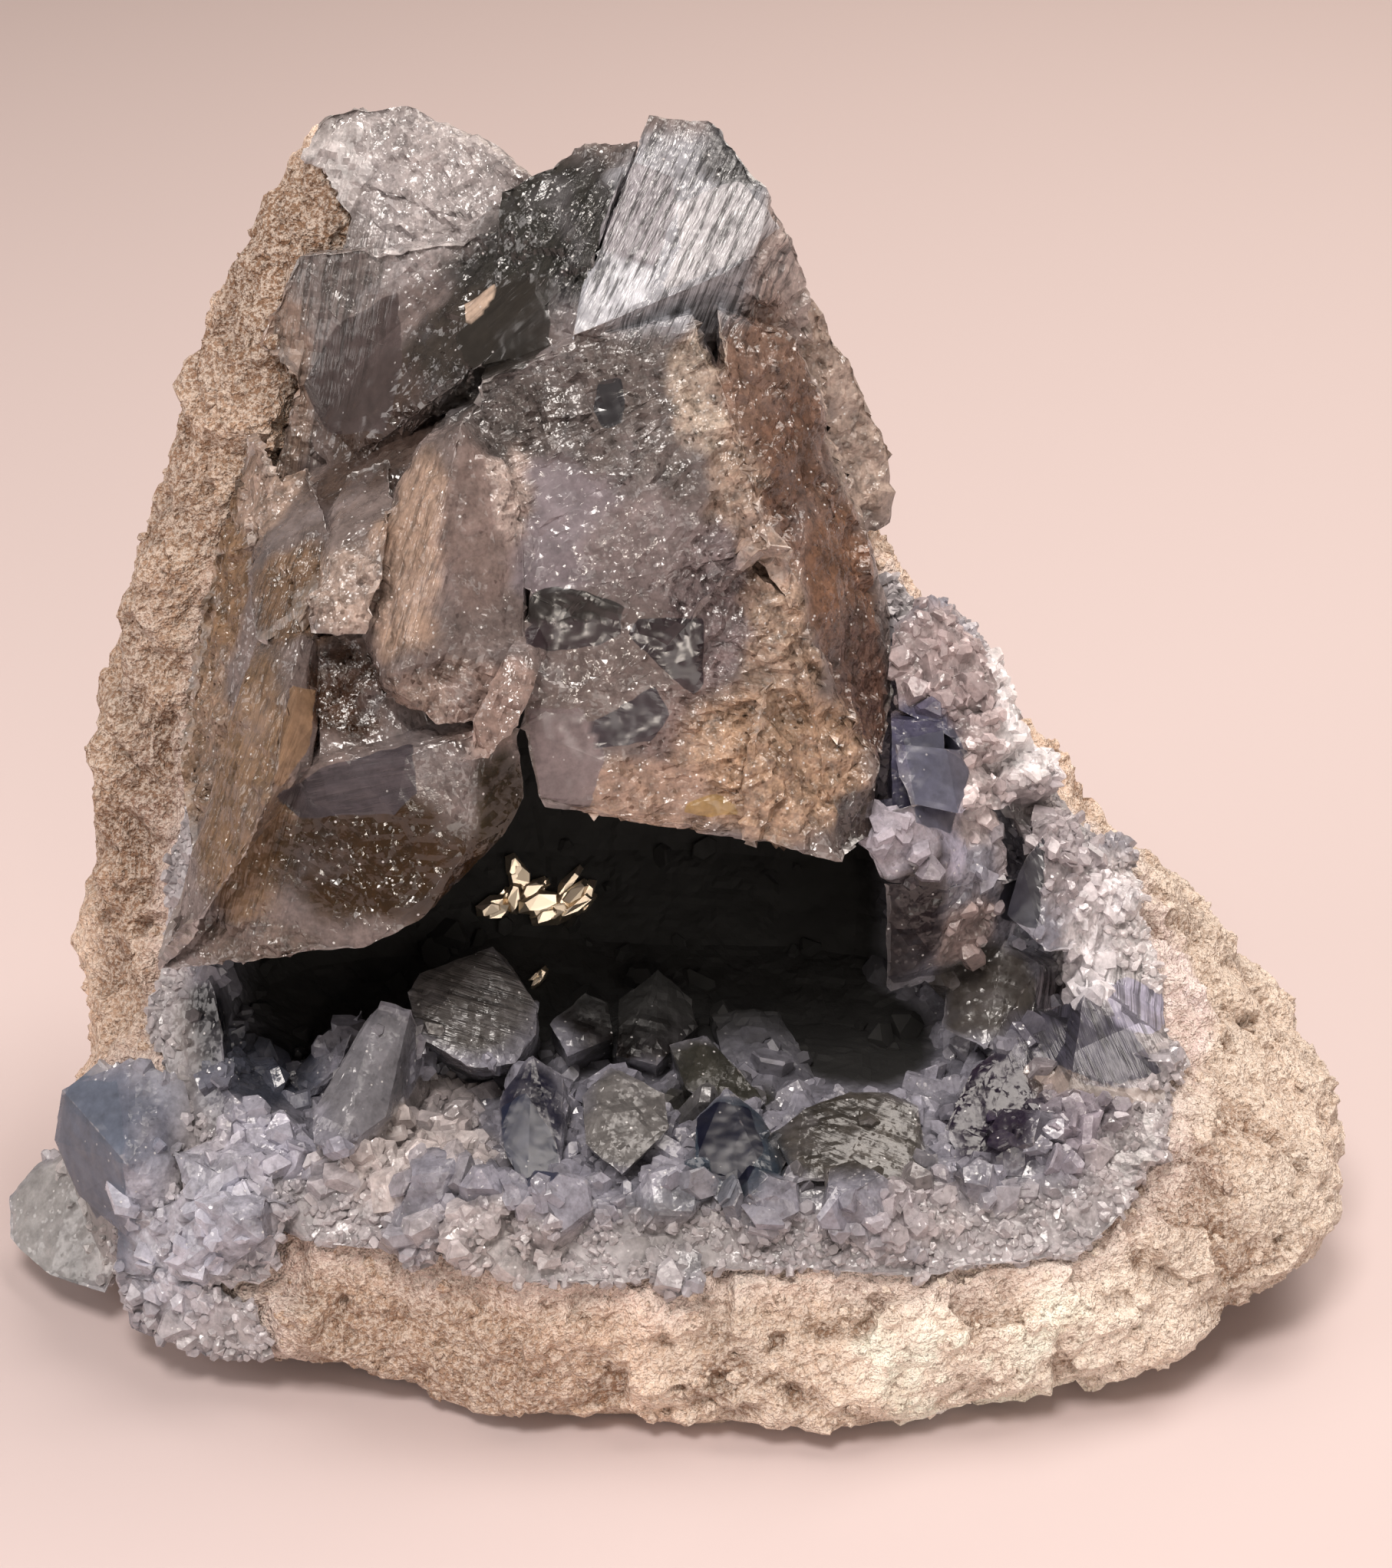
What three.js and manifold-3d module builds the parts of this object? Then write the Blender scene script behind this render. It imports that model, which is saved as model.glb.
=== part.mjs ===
// Celestite crystal cluster: a broken piece of a geode, pale blue-grey crystals on a cream rock rind.
// Millimetres, +Z up. The piece rests on a flat ground patch at z = 0, its hollow opens towards -Y,
// and its long side lies along X.

import * as THREE from 'three';
import { ConvexGeometry } from 'three/addons/geometries/ConvexGeometry.js';
import { LoftGeometry } from 'three/addons/geometries/LoftGeometry.js';
import { ImprovedNoise } from 'three/addons/math/ImprovedNoise.js';
import { mergeVertices } from 'three/addons/utils/BufferGeometryUtils.js';
import Module from 'manifold-3d';

const wasm = await Module();
wasm.setup();

// Driving dimensions
const GAP = 0.4; // kept between the rock, the crust and the crown crystals
const BED_DEPTH = { floor: 4, left: 4, right: 7.5, back: 4 }; // the crystal bed that lines the hollow
const RIND_STEPS = 52; // points round each level of the rind
const HOLLOW_STEPS = 30; // points round each level of the hollow
const LUMP_HEIGHT = 3.4; // how far the broken rock swells and sinks
const LUMP_SIZE = 15; // width of one lump of the rock
const KNOB_HEIGHT = 1.5; // the smaller knobs on the lumps
const KNOB_SIZE = 6;
const SMALL_RING = 20; // nearer its middle than this, a level is roughened less
const WALL_CALM = 0.5; // share of that roughness on the wall of the hollow
const RIM_SPACING = 6; // distance between the small crystals along the rim
const RIM_CRYSTAL_LENGTH = 6;
const RIM_CRYSTAL_WIDTH = 6;
const RIM_CRYSTAL_SCALE = { smallest: 0.6, range: 0.6 };
const RIM_LEAN = 1.3; // how widely the small crystals point away from the middle of the hollow
const RIM_FORWARD = 0.3; // and how much they lean out of its mouth
const BED_ROOT = 2; // the bed is made this much too large all round, then cut back to the rock
const BED_EDGE = 1; // it may stand out of the rind by this much
const OVAL_POWERS = { backRight: 0.98, backLeft: 0.88, frontLeft: 0.95 }; // 1 is an oval, less is squarer
const SEEDS = { rind: 3.7, hollow: 8.1, rim: 20 };

// Unit cell of celestite, which sets the angles between the faces of a whole crystal
const CELL = { a: 8.359, b: 5.352, c: 6.866 };
// Distance of its faces from the middle, as shares of the crystal's width and length
const HABIT = { top: 0.42, roof: 0.46, prism: 0.72, end: 0.74 };

// Rind of the geode: [height, left x, right x, front y, back y, y of the widest place,
// power of its front right quarter, where 1 is an oval and less is squarer]
const RIND_LEVELS = [
  [0, -41, 45, -37, 31, 0, 0.68],
  [2.5, -54, 53, -42, 38, 0, 0.66],
  [6, -59, 61, -43, 41, -1, 0.72],
  [11, -60, 65.5, -42, 42.5, 0, 0.8],
  [16, -60, 64, -40, 42.5, 3, 0.86],
  [21, -60, 59, -36, 42.5, 5, 0.92],
  [27, -59, 53, -26, 42.5, 6, 0.95],
  [34, -59, 47, -18, 42.5, 6, 0.95],
  [42, -58.5, 40, -10, 41.5, 6, 0.95],
  [50, -57.5, 33, -4, 40.5, 8, 0.95],
  [58, -56, 27, 0, 39.5, 8, 0.95],
  [66, -54, 20.5, 3, 38, 10, 0.95],
  [74, -50.5, 16, 5, 36.5, 12, 0.95],
  [82, -48, 13, 8, 34.5, 14, 0.95],
  [90, -45, 5, 11, 32.5, 17, 0.95],
  [96, -42.5, -8, 15, 31, 20, 0.95],
  [102, -39, -20, 19, 28, 23, 0.95],
  [105.5, -34, -25, 21.5, 26, 24, 0.95],
];

// Hollow of the geode, open at the front and the top, in the same terms
const HOLLOW_LEVELS = [
  [18.5, -40, 37, -80, 4, -10, 0.8],
  [22, -47, 44, -80, 12, -10, 0.8],
  [29, -49, 46, -80, 19, -8, 0.8],
  [40, -47, 39, -80, 22, -5, 0.8],
  [52, -44, 29, -80, 22, 0, 0.8],
  [64, -42, 20, -80, 21, 4, 0.8],
  [78, -39, 11, -80, 21, 6, 0.8],
  [94, -35, 6, -80, 22, 8, 0.8],
  [112, -32, 2, -80, 24, 10, 0.8],
];
const BED_LEVELS = 6; // the bed of crystals stops where the crown crystals take over

// A block of crystal: its front outline, how far and where it runs back, and how much it narrows there
const CROWN_BLOCKS = {
  core: {
    back: [0, 12, 0], taper: 0.9,
    front: [[-40, 6, 66], [-30, 2, 60], [-10, -4, 58], [10, -4, 58], [15, 4, 64], [9, 4, 98],
      [-4, 4, 102], [-36, 12, 96], [-44, 10, 78]],
  },
  leftRoot: {
    back: [-4, 12, 4], taper: 0.8,
    front: [[-45, -15, 44], [-40, -18, 43], [-34, -14, 62], [-34, -6, 74], [-39, 4, 80], [-43, -4, 60]],
  },
  leftFill: {
    back: [0, 14, 2], taper: 0.9,
    front: [[-40, -8, 62], [-30, -13, 60], [-17, -11, 62], [-16, -6, 86], [-27, 0, 81], [-37, 0, 75]],
  },
  summit: {
    back: [-1, 15, -8], taper: 0.75,
    front: [[-3, 5, 111], [3, 4.5, 111], [4.5, 2.5, 109], [8, 0, 105.5], [7.5, -1.5, 103.5],
      [6.5, -3.5, 100.5], [3.5, -4.5, 99], [-3, -5, 97.5], [-10, -7, 94], [-8.5, -3.5, 98.5],
      [-5, 1.5, 106], [12, 3, 96], [12.5, 3, 90]],
  },
  backRidge: {
    back: [-4, 10, -4], taper: 0.8,
    front: [[9, 8, 97], [13.5, 8, 90], [16, 9, 86.5], [18, 10, 82], [20, 10, 76.5], [20, 10, 70],
      [14, 6, 68], [8, 6, 84]],
  },
  valley: {
    back: [0, 10, -4], taper: 0.8,
    front: [[-13, 10, 104.5], [-5, 3, 107], [-8, -1, 99.5], [-10, -4, 92.5], [-18.5, -3, 90],
      [-27.5, 2, 84], [-32.5, 4, 77], [-37, 10, 79.5], [-34, 14, 88], [-25, 14, 95.5], [-19.5, 13, 99.5]],
  },
  leftPeak: {
    back: [0, 8, -4], taper: 0.8,
    front: [[-36, 20, 103], [-34.5, 22, 106.5], [-31, 22, 108], [-26, 22, 108], [-21.5, 20, 106],
      [-17, 18, 105], [-13.5, 13, 103], [-19.5, 12, 99], [-25, 12, 95.5], [-34, 12, 88.5],
      [-37.5, 8, 78], [-40, 8, 72], [-42, 12, 80], [-39, 18, 93]],
  },
  centre: {
    back: [0, 16, 0], taper: 0.85,
    front: [[-18.5, -7, 90], [-10, -6, 93.5], [1, -6, 96], [3, -8, 91.5], [7, -12, 81.5], [8, -14, 76.5],
      [-2.5, -16, 67], [-13.5, -15, 72.5], [-19, -11, 81]],
  },
  roof: {
    back: [0, 22, 6], taper: 0.8,
    front: [[-14.5, -19, 61.5], [-13, -20, 54], [14.5, -19, 48.5], [18.5, -14, 55.5], [10.5, -14, 70.5],
      [7, -13, 74.5], [-2, -12, 78], [-13.5, -13, 77.5]],
  },
  roofCorner: {
    back: [2, 14, 6], taper: 0.8,
    front: [[7.5, -15, 66.5], [13.5, -14, 60.5], [18, -13, 54], [17.5, -15, 49], [14.5, -20, 48.5],
      [5, -21, 51], [6, -19, 60.5]],
  },
  brownFlank: {
    back: [-2, 12, 2], taper: 0.8,
    front: [[3, -6, 96.5], [10.5, -2, 92.5], [15, 2, 79.5], [20, 3, 63.5], [20, 0, 57], [18.5, -9, 54],
      [12, -15, 65], [7, -13, 78], [3.5, -9, 86]],
  },
  tallBlade: {
    back: [2, 12, 2], taper: 0.8,
    front: [[-19.5, -13, 88], [-21.5, -18, 78.5], [-24, -22, 71], [-25.5, -23.5, 66.5],
      [-17, -11.5, 84.5], [-15, -12, 81.5], [-14, -13.5, 76.5], [-14, -17.5, 69], [-16, -20, 65.5],
      [-18.5, -22, 63], [-21.5, -23, 63], [-23.5, -9, 85], [-26, -9, 80.5], [-27.5, -10.5, 77.5],
      [-29, -15, 70], [-27.5, -19, 64.5]],
  },
  secondBlade: {
    back: [0, 12, 3], taper: 0.8,
    front: [[-31, -13, 77], [-26, -13, 79], [-26.5, -17, 74.5], [-28, -19, 70.5], [-33, -19, 70.5],
      [-33.5, -17, 73]],
  },
  brownBlade: {
    back: [-2, 12, 3], taper: 0.8,
    front: [[-38, -8, 74], [-32, -9, 76.5], [-31.5, -13, 73], [-34, -17, 69.5], [-38.5, -14, 67.5],
      [-39.5, -10, 70.5]],
  },
  frontPlate: {
    back: [0, 9, 3], taper: 0.85,
    front: [[-48, -22, 38.5], [-39.5, -25, 40.5], [-31, -26, 44], [-28, -27, 43.5], [-23, -26, 46],
      [-19.5, -25, 51.5], [-16, -22, 52], [-14, -20, 55], [-14.5, -19, 61.5], [-18, -21, 62.5],
      [-24.5, -23, 60.5], [-32.5, -22, 59.5], [-35.5, -22, 56.5], [-39.5, -22, 50.5], [-44, -21, 46.5]],
  },
  darkInner: {
    back: [0, 10, 2], taper: 0.9,
    front: [[-32.5, -15, 68.5], [-27, -15, 68.5], [-22.5, -18, 62.5], [-24.5, -21, 59.5],
      [-32.5, -21, 59.5]],
  },
  leftBlade: {
    back: [1, 9, 3], taper: 0.85,
    front: [[-37.5, -15, 68], [-39.5, -16, 65.5], [-41.5, -18, 59], [-44, -19.5, 50.5],
      [-46.5, -21, 43.5], [-48, -22.5, 38.5], [-34, -18, 70], [-35, -22, 66], [-35.5, -25.5, 60.5],
      [-36.5, -27, 58], [-38.5, -26.5, 52.5], [-43.5, -25, 45], [-32.5, -17, 69.5], [-32.5, -20, 62.5],
      [-33, -22, 59]],
  },
  pinkShard: {
    back: [2, 8, 2], taper: 0.7,
    front: [[-15.5, -20, 69.5], [-13.5, -20, 69.5], [-12.5, -21, 67.5], [-14.5, -24, 63.5],
      [-17, -25, 61], [-20, -25, 60.5], [-18, -23, 64.5]],
  },
};

const CRUST_BLOCKS = {
  leftBlue: {
    back: [5, 7, -6], taper: 0.9,
    front: [[-59.5, -17, 20], [-58.5, -15, 22.5], [-56, -13, 24], [-50, -15, 24], [-44.5, -18, 23.5],
      [-44.5, -20, 22], [-48, -25, 19], [-51, -28, 15.5], [-54.5, -25, 15], [-57.5, -21, 16.5]],
  },
  paleGreenCorner: {
    back: [7, 8, 3], taper: 0.9,
    front: [[-66.5, -10, 7], [-64, -9, 10], [-59.5, -14, 11.5], [-56.5, -19, 9], [-53.5, -22, 7.5],
      [-55, -24, 4.5], [-61, -20, 4], [-66, -14, 4.5]],
  },
  lilacLumps: {
    back: [4, 8, -2], taper: 0.9,
    front: [[-53, -26, 13.5], [-49, -28, 15.5], [-42.5, -31, 21.5], [-35.5, -33, 20.5], [-38.5, -34, 12],
      [-46.5, -32, 11.5], [-53.5, -27, 9]],
  },
  cornerFoot: {
    back: [4, 7, 1], taper: 0.9,
    front: [[-53, -27, 9], [-47, -32, 11], [-39, -35, 10.5], [-38, -35, 4], [-45, -33, 3.5],
      [-52, -29, 4]],
  },
  cornerFill: {
    back: [6, 6, 0], taper: 0.9,
    front: [[-61, -12, 8], [-56, -21, 6], [-50, -25, 6], [-50, -25, 16], [-58, -15, 20], [-61, -8, 16]],
  },
  whiteLump: {
    back: [2, 7, -6], taper: 0.9,
    front: [[-47.5, -26, 22], [-42, -25, 23], [-37, -29, 23], [-37.5, -32, 20.5], [-43, -31, 19],
      [-46.5, -28, 19.5]],
  },
  palePoint: {
    back: [2, 6, -9], taper: 0.9,
    front: [[-28, -20, 34.5], [-25, -20, 33.5], [-25.5, -22, 30], [-27, -28, 26.5], [-30.5, -29, 27],
      [-31.5, -33, 25.5], [-34, -31, 25.5], [-34, -28, 27], [-32, -24, 29.5], [-29.5, -21, 33]],
  },
  darkLeftPoint: {
    back: [0, 6, -6], taper: 0.9,
    front: [[-51, -12, 30.5], [-49.5, -10, 31.5], [-46.5, -12, 27], [-45, -16, 24], [-47, -18, 23.5],
      [-50.5, -14, 27.5]],
  },
  blueDome: {
    back: [0, 8, -6], taper: 0.9,
    front: [[-45, -12, 26], [-41, -11, 26.5], [-37.5, -13, 25], [-36.5, -17, 22.5], [-40.5, -20, 21.5],
      [-44.5, -17, 22.5]],
  },
  longDarkBlade: {
    back: [0, 7, -6], taper: 0.9,
    front: [[-30.5, -12, 29], [-34, -12, 26.5], [-37, -15, 24], [-36, -19, 22.5], [-32.5, -18, 25.5]],
  },
  striatedBlock: {
    back: [0, 9, -8], taper: 0.9,
    front: [[-26, -15, 32.5], [-25, -13, 33.5], [-18, -11, 35.5], [-16.5, -11, 34], [-13.5, -15, 31],
      [-13.5, -17, 29], [-15.5, -20, 27.5], [-19.5, -21, 27.5], [-25, -19, 30]],
  },
  darkBlueTooth: {
    back: [0, 8, -7], taper: 0.9,
    front: [[-17, -25, 27], [-14, -21, 29.5], [-11, -22, 27.5], [-10.5, -24, 25.5], [-11, -31, 23.5],
      [-14, -35, 22.5], [-17, -30, 25.5]],
  },
  greyTooth: {
    back: [0, 8, -7], taper: 0.9,
    front: [[-7, -22, 29], [-9.5, -25, 27], [-9, -31, 25.5], [-5.5, -34, 24], [-1, -29, 26],
      [-1.5, -25, 27.5], [-4.5, -23, 28]],
  },
  tealTooth: {
    back: [0, 8, -7], taper: 0.9,
    front: [[1, -26, 25.5], [4, -23, 27], [7.5, -25, 25], [9.5, -29, 23], [8.5, -36, 22.5],
      [3, -36, 22.5], [1, -32, 24]],
  },
  tealRidge: {
    back: [0, 7, -7], taper: 0.9,
    front: [[-1.5, -16, 27.5], [2, -15, 28.5], [5.5, -18, 26], [8, -21, 24], [5, -24, 23], [0, -21, 25.5]],
  },
  oliveBlock: {
    back: [0, 9, -7], taper: 0.9,
    front: [[8, -27, 24.5], [11, -25, 26], [15.5, -22, 26], [19.5, -22, 26], [22, -23, 25],
      [22.5, -27, 23], [21, -32, 22.5], [17.5, -34, 22.5], [13, -34, 23.5], [10, -34, 23.5]],
  },
  brownBackBlock: {
    back: [0, 7, -7], taper: 0.9,
    front: [[2.5, -5, 25], [9.5, -5, 25.5], [14, -16, 21.5], [8, -19, 21.5], [4, -12, 23]],
  },
  backPoint: {
    back: [0, 7, -8], taper: 0.9,
    front: [[-6.5, -6, 27], [-2.5, -4, 29.5], [1, -6, 27], [1.5, -9, 25.5], [-2.5, -15, 24.5],
      [-6.5, -14, 25]],
  },
  backLeftPoint: {
    back: [0, 7, -8], taper: 0.9,
    front: [[-13, -12, 27.5], [-9.5, -8, 29], [-7, -9, 28.5], [-6.5, -13, 26.5], [-11, -16, 26]],
  },
  frontLowTooth: {
    back: [0, 7, -2], taper: 0.9,
    front: [[-3.5, -39, 18.5], [-1, -37, 19.5], [2, -39, 19], [2, -41.5, 16.5], [-1.5, -41, 15]],
  },
  lilacLump: {
    back: [0, 7, -5], taper: 0.9,
    front: [[-20, -31, 23], [-17.5, -29, 23.5], [-15, -34, 23], [-16.5, -38, 22], [-20, -36, 22]],
  },
  rightLilacTooth: {
    back: [2, 8, -6], taper: 0.9,
    front: [[27, -18, 26], [32.5, -13, 28], [34, -19, 24.5], [32.5, -27, 22.5], [26, -31, 21.5],
      [24, -25, 23.5]],
  },
  terrace: {
    back: [4, 7, -6], taper: 0.9,
    front: [[28.5, -14, 26.5], [33.5, -10, 28], [38.5, -8, 28], [45.5, -10, 24.5], [46.5, -14, 21.5],
      [39.5, -18, 23.5], [33, -18, 25.5]],
  },
  striatedCrystal: {
    back: [4, 7, -5], taper: 0.9,
    front: [[40.5, -7, 29], [46.5, -5, 27.5], [47.5, -8, 25], [44, -10, 25], [40, -10, 26.5]],
  },
  darkGreyCrystal: {
    back: [6, 8, -5], taper: 0.9,
    front: [[25.5, -5, 31], [31, -5, 33], [34.5, -7, 31.5], [33, -12, 27], [28.5, -15, 26],
      [24.5, -11, 26.5]],
  },
  rightWing: {
    back: [6, 8, -4], taper: 0.9,
    front: [[34.5, -6, 45.5], [40, -6, 39], [39.5, -9, 32.5], [34, -13, 35.5], [30.5, -9, 37.5],
      [32, -7, 42.5]],
  },
  blueFacet: {
    back: [6, 8, -4], taper: 0.9,
    front: [[19.5, -10, 56], [24.5, -9, 55], [28.5, -8, 51.5], [25.5, -13, 50], [21, -14, 51.5],
      [19.5, -12, 53.5]],
  },
  upperRight: {
    back: [3, 9, -4], taper: 0.9,
    front: [[19.5, -1, 64], [23, 1, 66.5], [28.5, 2, 60], [31, -2, 54], [25, -7, 55], [20, -5, 57]],
  },
  glassyWall: {
    back: [7, 8, -3], taper: 0.9,
    front: [[17, -15, 51], [21, -14, 51.5], [24.5, -14, 45.5], [24.5, -14, 42.5], [18.5, -16, 44.5],
      [16, -16, 49]],
  },
  rightWallLow: {
    back: [8, 8, -3], taper: 0.9,
    front: [[18.5, -14, 43.5], [25, -13, 43], [24.5, -12, 33.5], [19, -12, 31], [22, -13, 37.5]],
  },
};

// Middle line of the rim where the bed of crystals meets the rock
const RIM_LINE = [[-40, -33, 17], [-26, -35, 20], [-13, -37, 20], [1, -38, 19], [15, -37, 20],
  [30, -32, 21], [40, -24, 22], [47, -14, 23], [48, -6, 27], [43, -3, 35], [37, -4, 42], [31, -4, 50],
  [25, -3, 58]];
const HOLLOW_CENTRE = new THREE.Vector3(0, -24, 60);

// Solids and cuts
function toSolid(geometry) {
  geometry.deleteAttribute('normal');
  geometry.deleteAttribute('uv');
  const merged = mergeVertices(geometry, 1e-4);
  return new wasm.Manifold(new wasm.Mesh({
    numProp: 3,
    vertProperties: new Float32Array(merged.attributes.position.array),
    triVerts: new Uint32Array(merged.index.array),
  }));
}

// Cutting can leave loose crumbs: only the largest connected piece is kept
function largestPiece(index, pointCount) {
  const owner = Array.from({ length: pointCount }, (_, i) => i);
  const find = (i) => (owner[i] === i ? i : find(owner[i]));
  for (let t = 0; t < index.length; t += 3) {
    const [a, b, c] = [find(index[t]), find(index[t + 1]), find(index[t + 2])];
    const lowest = Math.min(a, b, c);
    owner[a] = lowest;
    owner[b] = lowest;
    owner[c] = lowest;
  }
  const pieces = new Map();
  for (let t = 0; t < index.length; t += 3) {
    const piece = find(index[t]);
    if (!pieces.has(piece)) pieces.set(piece, []);
    pieces.get(piece).push(index[t], index[t + 1], index[t + 2]);
  }
  return [...pieces.values()].sort((first, second) => second.length - first.length)[0];
}

function toGeometry(solid) {
  const cut = solid.getMesh();
  const geometry = new THREE.BufferGeometry();
  geometry.setAttribute('position', new THREE.BufferAttribute(cut.vertProperties, 3));
  geometry.setIndex(largestPiece(cut.triVerts, cut.vertProperties.length / 3));
  const loose = geometry.toNonIndexed();
  loose.computeVertexNormals();
  return loose;
}

// The shape swollen on every side by one distance
function swell(geometry, distance) {
  geometry.deleteAttribute('normal');
  geometry.deleteAttribute('uv');
  const merged = mergeVertices(geometry, 1e-4);
  merged.computeVertexNormals();
  const { position, normal } = merged.attributes;
  const point = new THREE.Vector3();
  const outward = new THREE.Vector3();
  for (let i = 0; i < position.count; i++) {
    point.fromBufferAttribute(position, i);
    point.addScaledVector(outward.fromBufferAttribute(normal, i), distance);
    position.setXYZ(i, point.x, point.y, point.z);
  }
  return merged;
}

// One level of the rind or the hollow: four quarter ovals
function levelRing([height, left, right, front, back, middle, squareness], steps) {
  const ring = [];
  const centre = (left + right) / 2;
  for (let i = 0; i < steps; i++) {
    const angle = (i / steps) * 2 * Math.PI;
    const across = Math.cos(angle);
    const along = Math.sin(angle);
    let power = across > 0 ? OVAL_POWERS.backRight : OVAL_POWERS.backLeft;
    if (along < 0) power = across > 0 ? squareness : OVAL_POWERS.frontLeft;
    const x = Math.abs(across) ** power;
    const y = Math.abs(along) ** power;
    ring.push(new THREE.Vector3(
      centre + x * (across > 0 ? right - centre : left - centre),
      middle + y * (along > 0 ? back - middle : front - middle),
      height,
    ));
  }
  return ring;
}

// Broken rock swells and sinks; the flat patch it rests on keeps its level
const noise = new ImprovedNoise();
function roughen(ring, share, seed) {
  const centre = new THREE.Vector3();
  ring.forEach((point) => centre.addScaledVector(point, 1 / ring.length));
  return ring.map((point) => {
    const { x, y, z } = point;
    const lumps = noise.noise(x / LUMP_SIZE + seed, y / LUMP_SIZE, z / LUMP_SIZE) * LUMP_HEIGHT;
    const knobs = noise.noise(x / KNOB_SIZE, y / KNOB_SIZE + seed, z / KNOB_SIZE) * KNOB_HEIGHT;
    const away = point.clone().sub(centre).setZ(0);
    const strength = share * Math.min(1, away.length() / SMALL_RING);
    const moved = point.clone().addScaledVector(away.normalize(), (lumps + knobs) * strength);
    if (z > 0) moved.z += knobs * strength;
    return moved;
  });
}

function loft(levels, steps, share, seed) {
  const rings = levels.map((level) => roughen(levelRing(level, steps), share, seed));
  return new THREE.BufferGeometry().copy(new LoftGeometry(rings, { capStart: true, capEnd: true }));
}

const rindForm = () => loft(RIND_LEVELS, RIND_STEPS, 1, SEEDS.rind);
const hollowForm = (levels = HOLLOW_LEVELS) => loft(levels, HOLLOW_STEPS, WALL_CALM, SEEDS.hollow);

// The rock with its gap: what no crystal may enter
function rockSolid(gap) {
  if (gap === 0) return toSolid(rindForm()).subtract(toSolid(hollowForm()));
  return toSolid(swell(rindForm(), gap)).subtract(toSolid(swell(hollowForm(), -gap)));
}

// A crystal block, or the room round it when a gap is asked for: each corner becomes six,
// set far enough out along the axes that every face moves by at least the gap
function blockSolid({ front, back, taper }, gap = 0) {
  const near = front.map((corner) => new THREE.Vector3(...corner));
  const centre = new THREE.Vector3();
  near.forEach((corner) => centre.addScaledVector(corner, 1 / near.length));
  const far = near.map((corner) => corner.clone().sub(centre).multiplyScalar(taper).add(centre)
    .add(new THREE.Vector3(...back)));
  let corners = [...near, ...far];
  if (gap > 0) {
    const reach = gap * Math.sqrt(3);
    const steps = [[1, 0, 0], [-1, 0, 0], [0, 1, 0], [0, -1, 0], [0, 0, 1], [0, 0, -1]]
      .map((step) => new THREE.Vector3(...step).multiplyScalar(reach));
    corners = corners.flatMap((corner) => steps.map((step) => corner.clone().add(step)));
  }
  return toSolid(new ConvexGeometry(corners));
}

// A whole crystal, bounded by its natural faces, lying along x and centred on the origin
function celestiteCorners(length, width) {
  const faces = [];
  const addFaces = (h, k, l, distance) => {
    for (const i of h ? [1, -1] : [0]) {
      for (const j of k ? [1, -1] : [0]) {
        for (const m of l ? [1, -1] : [0]) {
          const normal = new THREE.Vector3((i * h) / CELL.a, (j * k) / CELL.b, (m * l) / CELL.c);
          faces.push(new THREE.Plane(normal.normalize(), -distance));
        }
      }
    }
  };
  addFaces(0, 0, 1, width * HABIT.top);
  addFaces(0, 1, 1, width * HABIT.roof);
  addFaces(2, 1, 0, length * HABIT.prism);
  addFaces(1, 0, 1, length * HABIT.end);

  const corners = [];
  const corner = new THREE.Vector3();
  const solve = new THREE.Matrix3();
  for (let a = 0; a < faces.length; a++) {
    for (let b = a + 1; b < faces.length; b++) {
      for (let c = b + 1; c < faces.length; c++) {
        const [p, q, r] = [faces[a].normal, faces[b].normal, faces[c].normal];
        solve.set(p.x, p.y, p.z, q.x, q.y, q.z, r.x, r.y, r.z);
        if (Math.abs(solve.determinant()) < 1e-6) continue;
        corner.set(-faces[a].constant, -faces[b].constant, -faces[c].constant);
        corner.applyMatrix3(solve.invert());
        if (faces.every((face) => face.distanceToPoint(corner) < 1e-6)) corners.push(corner.clone());
      }
    }
  }
  return corners;
}

// Repeatable random numbers from 0 to 1
function randomFrom(seed) {
  let state = seed;
  return () => {
    state = (state * 1664525 + 1013904223) % 4294967296;
    return state / 4294967296;
  };
}

function rimCrystals() {
  const random = randomFrom(SEEDS.rim);
  const line = new THREE.CatmullRomCurve3(RIM_LINE.map((point) => new THREE.Vector3(...point)));
  const count = Math.round(line.getLength() / RIM_SPACING);
  const crystals = [];
  for (let i = 0; i <= count; i++) {
    const place = line.getPointAt(i / count);
    place.x += (random() - 0.5) * RIM_SPACING;
    place.y += random() * RIM_SPACING;
    const outward = HOLLOW_CENTRE.clone().sub(place).normalize();
    outward.x += (random() - 0.5) * RIM_LEAN;
    outward.y += (random() - 0.5) * RIM_LEAN - RIM_FORWARD;
    outward.normalize();
    const size = RIM_CRYSTAL_SCALE.smallest + random() * RIM_CRYSTAL_SCALE.range;
    const turn = new THREE.Quaternion().setFromUnitVectors(new THREE.Vector3(1, 0, 0), outward);
    turn.multiply(new THREE.Quaternion().setFromAxisAngle(new THREE.Vector3(1, 0, 0), random() * Math.PI));
    const corners = celestiteCorners(RIM_CRYSTAL_LENGTH * size, RIM_CRYSTAL_WIDTH * size)
      .map((corner) => corner.applyQuaternion(turn).add(place));
    crystals.push(toSolid(new ConvexGeometry(corners)));
  }
  return crystals;
}

// The bed lines the hollow from its floor to the crown crystals
function bedSolid() {
  const outer = HOLLOW_LEVELS.slice(0, BED_LEVELS);
  const inner = outer.map(([height, left, right, front, back, middle, squareness]) => [
    height + BED_DEPTH.floor, left + BED_DEPTH.left, right - BED_DEPTH.right, front - BED_DEPTH.back,
    back - BED_DEPTH.back, middle, squareness,
  ]);
  return toSolid(swell(hollowForm(outer), BED_ROOT)).subtract(toSolid(hollowForm(inner)));
}

const join = (solids) => solids.reduce((whole, solid) => whole.add(solid));

function crownSolid(gap = 0) {
  return join(Object.values(CROWN_BLOCKS).map((block) => blockSolid(block, gap)));
}

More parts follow.
